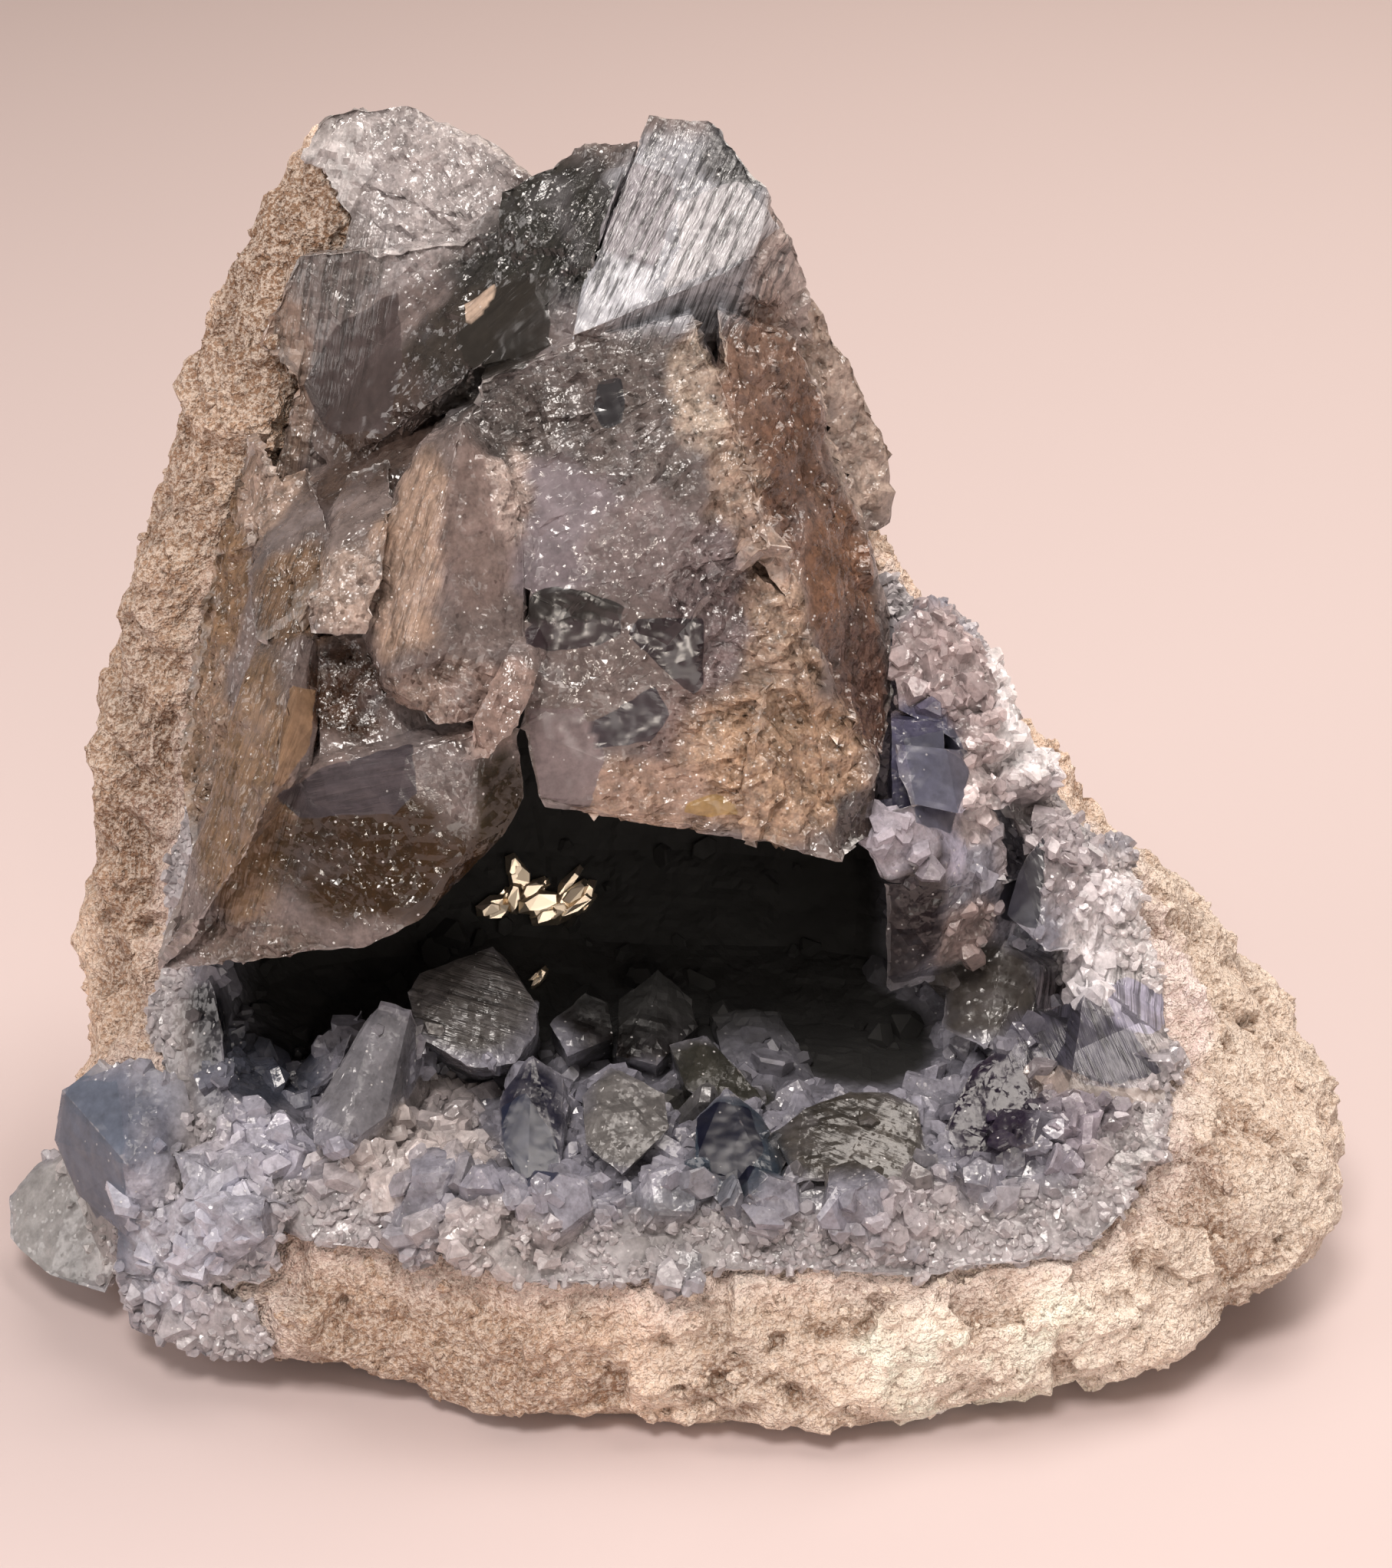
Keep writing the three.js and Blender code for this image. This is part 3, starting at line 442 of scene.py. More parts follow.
def edge_tree(shape, concave):
    """Points along a shape's inner creases, or along its outer edges, to find distances to."""
    found = []
    for edge in shape.edges:
        angle = edge.calc_face_angle_signed(0)
        if (-angle if concave else angle) > EDGE_ANGLE:
            start, end = (corner.co / MM for corner in edge.verts)
            steps = int((end - start).length / 0.4) + 1
            found += [start.lerp(end, step / steps) for step in range(steps + 1)]
    tree = KDTree(len(found))
    for number, point in enumerate(found):
        tree.insert(point, number)
    tree.balance()
    return tree


def distances(points, tree):
    return each(points, lambda point: tree.find(point)[2])


def new_piece(shape, name, node, material):
    """The finished bmesh as a piece that stands for a CAD node."""
    mesh = bpy.data.meshes.new(name)
    shape.to_mesh(mesh)
    shape.free()
    mesh.materials.append(material)
    piece = bpy.data.objects.new(name, mesh)
    bpy.context.scene.collection.objects.link(piece)
    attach(piece, "root")
    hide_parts(node)
    return piece


def apply_modifiers(piece):
    """The piece's mesh with its modifiers worked in."""
    bpy.context.view_layer.update()
    done = bpy.data.meshes.new_from_object(piece.evaluated_get(bpy.context.evaluated_depsgraph_get()))
    piece.modifiers.clear()
    piece.data = done
    return done


# Materials
def node(tree, kind, values=None, **settings):
    """A shader node; a value that is a socket is linked, any other is set."""
    made = tree.nodes.new(kind)
    for name, value in settings.items():
        setattr(made, name, value)
    for key, value in (values or {}).items():
        if isinstance(value, bpy.types.NodeSocket):
            tree.links.new(value, made.inputs[key])
        else:
            made.inputs[key].default_value = value
    return made


def mix_colour(tree, share, first, second, blend="MIX"):
    values = {0: share, 6: first, 7: second}
    return node(tree, "ShaderNodeMix", values, data_type="RGBA", blend_type=blend).outputs[2]


def math_node(tree, operation, *values, clamp=False):
    return node(tree, "ShaderNodeMath", dict(enumerate(values)), operation=operation, use_clamp=clamp).outputs[0]


def grey(tree, value):
    """A grey colour of this brightness."""
    return node(tree, "ShaderNodeCombineColor", {0: value, 1: value, 2: value}).outputs[0]


def ramp(tree, value, low, high):
    """0 below low, 1 above high."""
    values = {"Value": value, "From Min": low, "From Max": high}
    return node(tree, "ShaderNodeMapRange", values, interpolation_type="SMOOTHSTEP").outputs["Result"]


def attribute(tree, name, output="Fac"):
    return node(tree, "ShaderNodeAttribute", attribute_name=name).outputs[output]


def object_coordinates(tree):
    return node(tree, "ShaderNodeTexCoord").outputs["Object"]


def noise_of(tree, size, detail, roughness=0.6):
    """Noise whose lumps are about this many millimetres across."""
    values = {
        "Vector": object_coordinates(tree),
        "Scale": 1 / (size * MM),
        "Detail": detail,
        "Roughness": roughness,
    }
    return node(tree, "ShaderNodeTexNoise", values).outputs["Fac"]


def new_group(name, inputs, outputs):
    """A shader node group with these sockets: (name, type, value) in, (name, type) out."""
    group = bpy.data.node_groups.new(name, "ShaderNodeTree")
    for socket, kind, value in inputs:
        made = group.interface.new_socket(socket, in_out="INPUT", socket_type=kind)
        made.default_value = value
    for socket, kind in outputs:
        group.interface.new_socket(socket, in_out="OUTPUT", socket_type=kind)
    return group, group.nodes.new("NodeGroupInput").outputs, group.nodes.new("NodeGroupOutput").inputs


def placed(tree, group, values):
    return node(tree, "ShaderNodeGroup", values, node_tree=group).outputs


def veil_group():
    """Milky clouds inside a crystal, and painted glints: tiny white points painted on it where light would flash."""
    group, inputs, outputs = new_group(
        "Milky veils and painted glints",
        [("Cloud Size", "NodeSocketFloat", 9.0), ("Cloudiness", "NodeSocketFloat", 0.5),
         ("Glint Share", "NodeSocketFloat", 0.2)],
        [("Veil", "NodeSocketFloat"), ("Painted Glints", "NodeSocketFloat")],
    )
    place = object_coordinates(group)
    scale = math_node(group, "DIVIDE", 1 / MM, inputs["Cloud Size"])
    cloud = node(group, "ShaderNodeTexNoise", {"Vector": place, "Scale": scale, "Detail": 3, "Roughness": 0.7})
    threshold = math_node(group, "SUBTRACT", 0.78, math_node(group, "MULTIPLY", inputs["Cloudiness"], 0.4))
    above = math_node(group, "SUBTRACT", cloud.outputs["Fac"], threshold)
    group.links.new(ramp(group, above, -0.12, 0.3), outputs["Veil"])
    # Painted glints: a few tiny cells are painted white.
    glint_cells = node(group, "ShaderNodeTexVoronoi", {"Vector": place, "Scale": 1 / (0.62 * MM)})
    near = ramp(group, glint_cells.outputs["Distance"], 0.24, 0.12)
    chosen = node(group, "ShaderNodeSeparateColor", {"Color": glint_cells.outputs["Color"]}).outputs[1]
    few = math_node(group, "LESS_THAN", chosen, inputs["Glint Share"])
    group.links.new(math_node(group, "MULTIPLY", near, few), outputs["Painted Glints"])
    return group


def glitter_group():
    """A surface of tiny facets: most lie nearly flat, a few are turned to catch the light."""
    group, inputs, outputs = new_group(
        "Glitter of small facets",
        [("Facet Size", "NodeSocketFloat", 0.5), ("Tilt", "NodeSocketFloat", 0.3)],
        [("Normal", "NodeSocketVector")],
    )
    scale = math_node(group, "DIVIDE", 1 / MM, inputs["Facet Size"])
    cells = node(group, "ShaderNodeTexVoronoi", {"Vector": object_coordinates(group), "Scale": scale})
    chosen = node(group, "ShaderNodeSeparateColor", {"Color": cells.outputs["Color"]}).outputs[0]
    few = ramp(group, chosen, 0.55, 1.0)
    tilt = math_node(group, "MULTIPLY", inputs["Tilt"], math_node(group, "MULTIPLY_ADD", few, 2.2, 0.12))
    turn = node(group, "ShaderNodeVectorMath", {0: cells.outputs["Color"], 1: (0.5, 0.5, 0.5)}, operation="SUBTRACT")
    turned = node(group, "ShaderNodeVectorMath", {0: turn.outputs[0], "Scale": tilt}, operation="SCALE")
    straight = node(group, "ShaderNodeNewGeometry").outputs["Normal"]
    total = node(group, "ShaderNodeVectorMath", {0: straight, 1: turned.outputs[0]}, operation="ADD")
    unit = node(group, "ShaderNodeVectorMath", {0: total.outputs[0]}, operation="NORMALIZE")
    group.links.new(unit.outputs[0], outputs["Normal"])
    return group


VEILS = veil_group()
GLITTER = glitter_group()
FROST = (0.74, 0.68, 0.68, 1)
MILK = (0.56, 0.53, 0.58, 1)
GLINT_WHITE = (0.92, 0.9, 0.9, 1)


def crystal_material(name, see_through, absorbed, density, roughness, waves, cloud_size, cloudiness, glitter, contrast):
    """Clear to cloudy crystal: the colours come from the piece, the rest from veils, lines and worn edges."""
    material = bpy.data.materials.new(name)
    material.use_nodes = True
    tree = material.node_tree
    shader = tree.nodes["Principled BSDF"]
    broken = attribute(tree, "broken")
    striated = attribute(tree, "striated")
    inside = attribute(tree, "window")
    dark = attribute(tree, "dark")
    # More painted glints where the surface is broken.
    glint_share = math_node(tree, "MULTIPLY_ADD", broken, 0.16, 0.05)
    veils = placed(tree, VEILS, {"Cloud Size": cloud_size, "Cloudiness": cloudiness, "Glint Share": glint_share})

    line_place = attribute(tree, "line_place", "Vector")
    line_noise = node(tree, "ShaderNodeTexNoise", {"Vector": line_place, "Scale": 1.6, "Detail": 3, "Roughness": 0.7})
    lines = math_node(tree, "MULTIPLY", line_noise.outputs["Fac"], striated)
    grooves = math_node(tree, "MULTIPLY", ramp(tree, line_noise.outputs["Fac"], 0.52, 0.4), striated)

    # Each facet's random brightness is painted reflection from inside the crystal; the grain, the steps and the grooves
    # of the striae vary it further.
    shade = math_node(tree, "MULTIPLY_ADD", attribute(tree, "facet"), contrast, 1 - contrast / 2)
    grain = noise_of(tree, 1.6, 3, 0.8)
    grainy = math_node(tree, "MULTIPLY_ADD", broken, 1.3, 0.7)
    spread = math_node(tree, "MULTIPLY", math_node(tree, "SUBTRACT", grain, 0.5), math_node(tree, "MULTIPLY", grainy, 1.7))
    shade = math_node(tree, "MULTIPLY", shade, math_node(tree, "ADD", spread, 1))
    shade = math_node(tree, "MULTIPLY", shade, math_node(tree, "MULTIPLY_ADD", attribute(tree, "step"), 0.5, 0.75))
    shade = math_node(tree, "MULTIPLY", shade, math_node(tree, "MULTIPLY_ADD", grooves, -0.75, 1))
    colour = mix_colour(tree, 1.0, attribute(tree, "tint", "Color"), grey(tree, shade), "MULTIPLY")
    colour = mix_colour(tree, math_node(tree, "MULTIPLY", veils["Veil"], 0.22), colour, MILK)
    clear = ramp(tree, inside, 0.0, 0.12)
    seen = mix_colour(tree, 1.0, attribute(tree, "window_tint", "Color"), grey(tree, shade), "MULTIPLY")
    colour = mix_colour(tree, math_node(tree, "MULTIPLY", clear, 0.9), colour, seen)
    frosted = math_node(tree, "MULTIPLY_ADD", noise_of(tree, 1.1, 2), 0.7, attribute(tree, "edge"))
    frost = math_node(tree, "MULTIPLY", ramp(tree, frosted, 1.28, 1.5), 0.4)
    colour = mix_colour(tree, frost, colour, FROST)
    # Painted glints: white points on the colour, fewer in the clear windows.
    plain = math_node(tree, "MULTIPLY_ADD", clear, -0.4, 0.85)
    colour = mix_colour(tree, math_node(tree, "MULTIPLY", veils["Painted Glints"], plain), colour, GLINT_WHITE)
    # Painted shade: deep in the hollow the colour is painted nearly black.
    colour = mix_colour(tree, dark, colour, (0.004, 0.0035, 0.003, 1))
    tree.links.new(colour, shader.inputs["Base Color"])

    rough = math_node(tree, "MULTIPLY_ADD", veils["Veil"], 0.15, roughness)
    rough = math_node(tree, "MULTIPLY_ADD", broken, 0.14, rough)
    rough = math_node(tree, "MULTIPLY_ADD", clear, 0.1, rough)
    behind = node(tree, "ShaderNodeNewGeometry").outputs["Backfacing"]
    rough = math_node(tree, "MULTIPLY_ADD", behind, 0.25, rough)
    rough = math_node(tree, "MULTIPLY_ADD", dark, 0.6, rough, clamp=True)
    tree.links.new(rough, shader.inputs["Roughness"])

    rugged = math_node(tree, "MULTIPLY", noise_of(tree, 0.9, 2, 0.7), broken)
    height = math_node(tree, "MULTIPLY_ADD", rugged, 0.8, lines)
    height = math_node(tree, "MULTIPLY_ADD", noise_of(tree, 2.4, 1), waves, height)
    plain_side = math_node(tree, "MAXIMUM", behind, math_node(tree, "MAXIMUM", dark, clear))
    lit = math_node(tree, "SUBTRACT", 1, plain_side)
    tilt = math_node(tree, "MULTIPLY", math_node(tree, "MULTIPLY_ADD", broken, glitter, 0.15), lit)
    facets = placed(tree, GLITTER, {"Facet Size": 0.33, "Tilt": tilt})
    bump_values = {"Height": height, "Distance": 0.4 * MM, "Strength": 0.8, "Normal": facets["Normal"]}
    tree.links.new(node(tree, "ShaderNodeBump", bump_values).outputs[0], shader.inputs["Normal"])

    shader.inputs["IOR"].default_value = 1.62
    shader.inputs["Transmission Weight"].default_value = see_through
    absorption = node(tree, "ShaderNodeVolumeAbsorption", {"Color": (*absorbed, 1), "Density": density})
    tree.links.new(absorption.outputs[0], tree.nodes["Material Output"].inputs["Volume"])
    return material


def limestone_material():
    material = bpy.data.materials.new("cream limestone")
    material.use_nodes = True
    tree = material.node_tree
    shader = tree.nodes["Principled BSDF"]
    blotches = ramp(tree, noise_of(tree, 7, 4, 0.65), 0.42, 0.66)
    grain = noise_of(tree, 0.5, 2, 0.75)
    stained = mix_colour(tree, math_node(tree, "MULTIPLY", blotches, 0.42), attribute(tree, "tint", "Color"),
                         (0.62, 0.48, 0.38, 1), "MULTIPLY")
    crumbs = ramp(tree, grain, 0.4, 0.6)
    light = mix_colour(tree, crumbs, stained, mix_colour(tree, 0.4, stained, (0.96, 0.87, 0.78, 1)))
    dark = ramp(tree, noise_of(tree, 0.9, 3, 0.8), 0.55, 0.66)
    spotted = mix_colour(tree, math_node(tree, "MULTIPLY", dark, 0.6), light, (0.17, 0.1, 0.06, 1))
    tree.links.new(spotted, shader.inputs["Base Color"])
    shader.inputs["Roughness"].default_value = 0.95
    height = math_node(tree, "ADD", grain, math_node(tree, "MULTIPLY", noise_of(tree, 1.6, 3, 0.75), 2.4))
    bump = node(tree, "ShaderNodeBump", {"Height": height, "Distance": 0.6 * MM, "Strength": 1.0})
    tree.links.new(bump.outputs[0], shader.inputs["Normal"])
    return material


def amber_material():
    """Iron stained flakes that flash gold."""
    material = bpy.data.materials.new("amber flake")
    material.use_nodes = True
    shader = material.node_tree.nodes["Principled BSDF"]
    shader.inputs["Base Color"].default_value = (1, 0.86, 0.68, 1)
    shader.inputs["Metallic"].default_value = 1
    shader.inputs["Roughness"].default_value = 0.38
    return material


LIMESTONE = limestone_material()
AMBER = amber_material()
SMOKY = crystal_material("smoky celestite", 0.3, (0.42, 0.44, 0.48), 45, 0.12, 1.1, 8, 0.5, 0.45, 0.25)
BLUE = crystal_material("blue celestite", 0.35, (0.45, 0.5, 0.6), 45, 0.2, 1, 6, 0.5, 0.3, 0.35)
SUGAR = crystal_material("sugary druse", 0.25, (0.84, 0.84, 0.87), 20, 0.18, 1, 4, 0.7, 0.3, 0.28)

# Rock
ROCK_BASE = rgb(219, 192, 171)
ROCK_SHADE = rgb(140, 110, 88)
ROCK_LILAC = rgb(216, 198, 192)
ROCK_PLACES = {
    # Centre, reach each way, colour, how lumpy
    "back": ((0, 45, 50), (80, 30, 70), rgb(216, 192, 170), 0.6),
    "left column": ((-48, 2, 60), (15, 30, 44), rgb(170, 141, 119), 1),
    "top of the column": ((-38, 12, 97), (9, 12, 16), rgb(130, 101, 79), 1),
    "column crevice": ((-44, -2, 70), (3, 8, 9), rgb(120, 86, 58), 1),
    "column foot": ((-50, -4, 46), (6, 9, 10), rgb(152, 126, 112), 1),
    "grey column face": ((-54, -2, 62), (6, 9, 12), rgb(172, 146, 129), 1),
    # Painted light and shade: the front is painted darker at the left, where the rock is in shade, and lighter at the
    # right, standing in for light; the cream between is its own.
    "front left": ((-30, -38, 8), (22, 14, 14), rgb(178, 150, 129), 0.3),
    "front right": ((28, -36, 10), (30, 14, 14), rgb(255, 240, 224), 0.2),
    "front middle": ((8, -44, 6), (10, 12, 9), rgb(226, 206, 188), 0.3),
    "right tail": ((54, -5, 22), (20, 40, 30), rgb(212, 194, 178), 0.3),
    "right slope": ((47, -8, 30), (5, 9, 9), rgb(236, 218, 216), 0.5),
    "right crust border": ((45, -27, 19), (7, 5, 4), rgb(172, 146, 130), 0.7),
}


def limestone_rind():
    shape = merged_copy("matrix")
    piece = new_piece(shape, "limestone_rind", "matrix", LIMESTONE)
    voxels = piece.modifiers.new("grain", "REMESH")
    voxels.mode = "VOXEL"
    voxels.voxel_size = ROCK_VOXEL * MM
    mesh = apply_modifiers(piece)
    points = points_of(mesh)
    normals = normals_of(mesh)
    tint, lumpy = colour_places(ragged(points, 8, 2, 4), ROCK_BASE, ROCK_PLACES)
    chips = (each(points, broken_facets(9, 3)) * 3.2 + each(points, broken_facets(3.4, 5)) * 1.4) * (1 - 0.4 * lumpy)
    knobs = each(points, lumps(4.5, 5, 8)) * (0.3 + 0.7 * lumpy) + each(points, lumps(1.6, 2, 15)) * (0.45 - 0.25 * lumpy)
    pits = each(points, lambda point: noise.voronoi(point / 3.6 + Vector((7, 3, 1)))[0][0])
    holes = unit_ramp((0.34 - pits) / 0.2) * unit_ramp(each(points, lumps(12, 2, 21)) * 3)
    cracked = unit_ramp(each(points, lumps(16, 2, 41)) * 2 + 0.3)
    creases = unit_ramp(1 - each(ragged(points, 9, 3, 6), crease_noise(7, 17)) / 0.35) * cracked
    relief = np.clip(chips + knobs - 1.3 * holes - 1.5 * creases * lumpy ** 2 - 0.3, -2.4, 1.0)
    relief *= unit_ramp(points[:, 2] / 2.5)
    to_crust = each(points, lambda point: crust_surface.find_nearest(point * MM)[3] / MM)
    relief = np.minimum(relief, 0.7 * to_crust - 0.4)
    move_points(mesh, points + normals * relief[:, None])
    # Painted shade: the sunken places of the relief, its pits and creases, are darkened towards ROCK_SHADE.
    tint += unit_ramp(-(relief + 0.15) / 1.3)[:, None] * 0.9 * (ROCK_SHADE - tint)
    tint += (unit_ramp((5 - to_crust) / 4.5)[:, None] * 0.7) * (ROCK_LILAC - tint)
    tint *= 1 + 0.2 * each(points, lumps(9, 3, 51))[:, None]
    store(mesh, "tint", np.clip(tint, 0.02, 0.92), "FLOAT_COLOR")
    return mesh


# Large crystals
def add_shard(shape, corners):
    """Adds the closed hull of some corners to a shape."""
    points = [shape.verts.new(Vector(corner) * MM) for corner in corners]
    hull = bmesh.ops.convex_hull(shape, input=points)
    inner = [part for part in hull["geom_interior"] if isinstance(part, bmesh.types.BMVert)]
    bmesh.ops.delete(shape, geom=inner, context="VERTS")
    bmesh.ops.recalc_face_normals(shape, faces=[part for part in hull["geom"] if isinstance(part, bmesh.types.BMFace)])


def sugared(tint, to_rock):
    """Colours turned pale towards the rock, as the crystals there get finer."""
    share = 0.65 * unit_ramp((SUGAR_REACH - to_rock) / 3)[:, None]
    return tint + share * (SUGAR_COLOUR - tint)


def crystal_piece(node_name, name, material, edge, shards, base, places, windows, striae, seed):
    """A CAD node's crystals with their flat facets kept, broken where the real ones are."""
    shape = merged_copy(node_name)
    for corners in shards:
        add_shard(shape, corners)
    outer_edges = edge_tree(shape, False)
    number_facets(shape, seed)
    refine(shape, edge)
    piece = new_piece(shape, name, node_name, material)
    mesh = piece.data
    points = points_of(mesh)
    normals = normals_of(mesh)
    tint, broken = colour_places(ragged(points, 4, 1.1, seed), base, places)
    if node_name == "crystal_crust":
        tint = sugared(tint, each(points, lambda point: rock_surface.find_nearest(point * MM)[3] / MM))
    inside, window_tint = window_depths(ragged(points, 1.5, 0.2, seed), windows)
    broken *= 1 - unit_ramp(inside + 0.5)
    striated, line_place = striae_places(points, striae)
    wear = np.clip(1 - distances(points, outer_edges) / EDGE_REACH, 0, 1)
    level = np.round(each(points, lumps(9, 3, seed)) * 2.2) / 2.2
    relief = each(points, broken_facets(8, seed)) * (0.08 + 1.8 * broken)
    relief += each(points, broken_facets(3.2, seed + 4)) * 1.6 * broken
    relief += each(points, broken_facets(1.3, seed + 6)) * 0.6 * broken
    relief += level * 0.8 * broken
    inward = np.clip(relief - 0.3 * broken - 0.1, -1.8, 0.5) - 0.25 * wear * wear * (0.4 + broken)
    move_points(mesh, points + normals * inward[:, None])
    store(mesh, "tint", own_colour(tint), "FLOAT_COLOR")
    store(mesh, "window_tint", own_colour(window_tint), "FLOAT_COLOR")
    store(mesh, "step", np.clip(level * 0.5 + 0.5, 0, 1))
    store(mesh, "line_place", line_place, "FLOAT_VECTOR")
    store(mesh, "window", inside)
    store(mesh, "striated", striated)
    store(mesh, "broken", broken)
    store(mesh, "edge", wear)
    # The painted shade of the hollow goes in the attribute dark.
    store(mesh, "dark", painted_cave_shade(points))
    return mesh


# Small crystals
HABIT = {
    # Faces of a small crystal that points along Z: normal, distance from the middle of its foot
    "prism": [((0.79, 0.61, 0), 0.42), ((-0.79, 0.61, 0), 0.42), ((0.79, -0.61, 0), 0.42), ((-0.79, -0.61, 0), 0.42)],
    "flat": [((0, 1, 0), 0.34), ((0, -1, 0), 0.34)],
    "tip": [((0.77, 0, 0.63), 0.75), ((-0.77, 0, 0.63), 0.75), ((0, 0.61, 0.79), 0.86), ((0, -0.61, 0.79), 0.86)],
}


def crystal_mould(seed):
    """One small crystal, cut from a block by its natural faces."""
    draw = random.Random(seed)
    shape = bmesh.new()
    bmesh.ops.create_cube(shape, size=2)
    bmesh.ops.translate(shape, verts=shape.verts, vec=(0, 0, 0.6))
    for faces in HABIT.values():
        for normal, distance in faces:
            cut = Vector(normal).normalized()
            stand = cut * distance * draw.uniform(0.75, 1.25)
            everything = shape.verts[:] + shape.edges[:] + shape.faces[:]
            bmesh.ops.bisect_plane(shape, geom=everything, plane_co=stand, plane_no=cut, clear_outer=True)
            rim = [edge for edge in shape.edges if edge.is_boundary]
            bmesh.ops.holes_fill(shape, edges=rim)
    # Each facet gets a random brightness: painted reflection from inside the crystal.
    shade = shape.faces.layers.float.new("facet")
    for face in shape.faces:
        face[shade] = draw.random()
    mesh = bpy.data.meshes.new("crystal mould")
    shape.to_mesh(mesh)
    shape.free()
    return mesh


def crumb_mould(seed):
    """One crumb of rock."""
    draw = random.Random(seed)
    shape = bmesh.new()
    bmesh.ops.create_icosphere(shape, subdivisions=1, radius=0.5)
    for corner in shape.verts:
        corner.co *= draw.uniform(0.65, 1.15)
    mesh = bpy.data.meshes.new("crumb mould")
    shape.to_mesh(mesh)
    shape.free()
    return mesh


def host_places(mesh, count, seed):
    """Random points of a surface with their normals, evenly spread, in millimetres."""
    draw = np.random.default_rng(seed)
    mesh.calc_loop_triangles()
    corners = np.zeros(len(mesh.loop_triangles) * 3, np.int32)
    mesh.loop_triangles.foreach_get("vertices", corners)
    triangles = points_of(mesh)[corners.reshape(-1, 3)]
    cross = np.cross(triangles[:, 1] - triangles[:, 0], triangles[:, 2] - triangles[:, 0])
    area = np.linalg.norm(cross, axis=1)
    chosen = draw.choice(len(area), size=count, p=area / area.sum())
    first = np.sqrt(draw.random(count))[:, None]
    second = draw.random(count)[:, None]
    near = triangles[chosen]
    points = near[:, 0] * (1 - first) + near[:, 1] * first * (1 - second) + near[:, 2] * first * second
    return points, cross[chosen] / area[chosen][:, None]


def sow(name, node_name, material, moulds, grains, lean, sink, seed):
    """Many small copies of the moulds, grown on a surface and joined in one mesh."""
    draw = random.Random(seed)
    shape = bmesh.new()
    colours = []
    darks = []
    for point, normal, size, tint, dark in zip(*grains):
        mould = draw.choice(moulds)
        grown = mould.copy()
        shake = Vector([draw.uniform(-1, 1) for _ in range(3)]) * lean
        axis = (Vector(normal) + shake).normalized()
        turn = axis.to_track_quat("Z", "Y").to_matrix().to_4x4()
        spin = Matrix.Rotation(draw.uniform(0, 2 * math.pi), 4, "Z")
        stretch = Matrix.Diagonal((size * draw.uniform(0.8, 1.2), size * draw.uniform(0.8, 1.2), size, 1 / MM)) * MM
        foot = Matrix.Translation((Vector(point) - axis * size * sink) * MM)
        grown.transform(foot @ turn @ spin @ stretch)
        shape.from_mesh(grown)
        colours.append(np.tile(tint * draw.uniform(0.88, 1.12), (len(mould.vertices), 1)))
        darks.append(np.full(len(mould.vertices), dark))
        bpy.data.meshes.remove(grown)
    piece = new_piece(shape, name, node_name, material)
    tint = np.vstack(colours)
    store(piece.data, "tint", tint / np.maximum(tint.max(axis=1, keepdims=True) / 0.9, 1), "FLOAT_COLOR")
    store(piece.data, "broken", np.full(len(piece.data.vertices), 0.25))
    # The painted shade of the hollow, for each grain.
    store(piece.data, "dark", np.concatenate(darks))
    store(piece.data, "step", np.full(len(piece.data.vertices), 0.5))


crust_shape = merged_copy("crystal_crust")
rock_shape = merged_copy("matrix")
rock_surface = BVHTree.FromBMesh(rock_shape)
crust_surface = BVHTree.FromBMesh(crust_shape)
CRYSTAL_MOULDS = [crystal_mould(seed) for seed in range(8)]
CRUMB_MOULDS = [crumb_mould(seed) for seed in range(4)]


def druse(host):
    """Small crystals over the crust: sugar where it meets the rock, larger ones further in and on the right."""
    points, normals = host_places(host, 42000, 5)
    to_rock = each(points, lambda point: rock_surface.find_nearest(point * MM)[3] / MM)
    free = each(points + normals * 1.5, lambda point: rock_surface.find_nearest(point * MM)[3] / MM)
    to_crease = distances(points, edge_tree(crust_shape, True))
    tint, broken = colour_places(ragged(points, 3, 1, 2), CRUST_BASE, CRUST_PLACES)
    # Painted shade of the hollow; fewer grains grow there too.
    dark = painted_cave_shade(points)
    outside = (free > 1.0) & (normals[:, 2] > -0.5) & (free > to_rock + 0.3)
    sugary = unit_ramp((SUGAR_REACH - to_rock) / 3)
    creased = unit_ramp((1.6 - to_crease) / 1.2)
    rough = unit_ramp((broken - 0.3) / 0.4)
    smooth = unit_ramp((0.3 - broken) / 0.15)
    wanted = np.maximum.reduce([0.95 * sugary, 0.35 * creased, 0.4 * rough, np.full(len(points), 0.015)])
    wanted *= (1 - 0.75 * smooth) * (window_depths(points, CRUST_WINDOWS)[0] < 0)
    draw = np.random.default_rng(9)
    lit = 1 - 0.85 * dark
    slope = unit_ramp((points[:, 0] - 22) / 4) * unit_ramp((points[:, 2] - 30) / 6)
    small = outside & (draw.random(len(points)) < wanted * lit)
    large = outside & (draw.random(len(points)) < 0.03 * lit) & (to_rock > 1.5) & (to_rock < 12) & (broken > 0.28)
    size = 0.5 + 0.8 * draw.random(len(points)) + (1 - sugary) * (0.6 + 1.7 * draw.random(len(points)) ** 2)
    size = np.where(large, 2 + 2.2 * draw.random(len(points)) ** 1.5, size)
    in_gap = cover(points, (21, 9, 46), (5, 9, 10), 0.2) > 0.5
    size *= 1 - 0.35 * slope
    filler = in_gap & (draw.random(len(points)) < 0.3)
    size = np.where(filler, 2 + 1.5 * draw.random(len(points)), size)
    tint = own_colour(sugared(tint, to_rock)) * 1.15
    kept = small | large | filler
    sides = {
        "left_druse": points[:, 0] < -22,
        "front_druse": (points[:, 0] >= -22) & (points[:, 0] < 20),
        "right_druse": points[:, 0] >= 20,
    }
    for number, (name, side) in enumerate(sides.items()):
        chosen = kept & side
        grains = (points[chosen], normals[chosen], size[chosen], tint[chosen], dark[chosen])
        sow(name, "crystal_crust", SUGAR, CRYSTAL_MOULDS, grains, 0.5, 0.55, 31 + number)


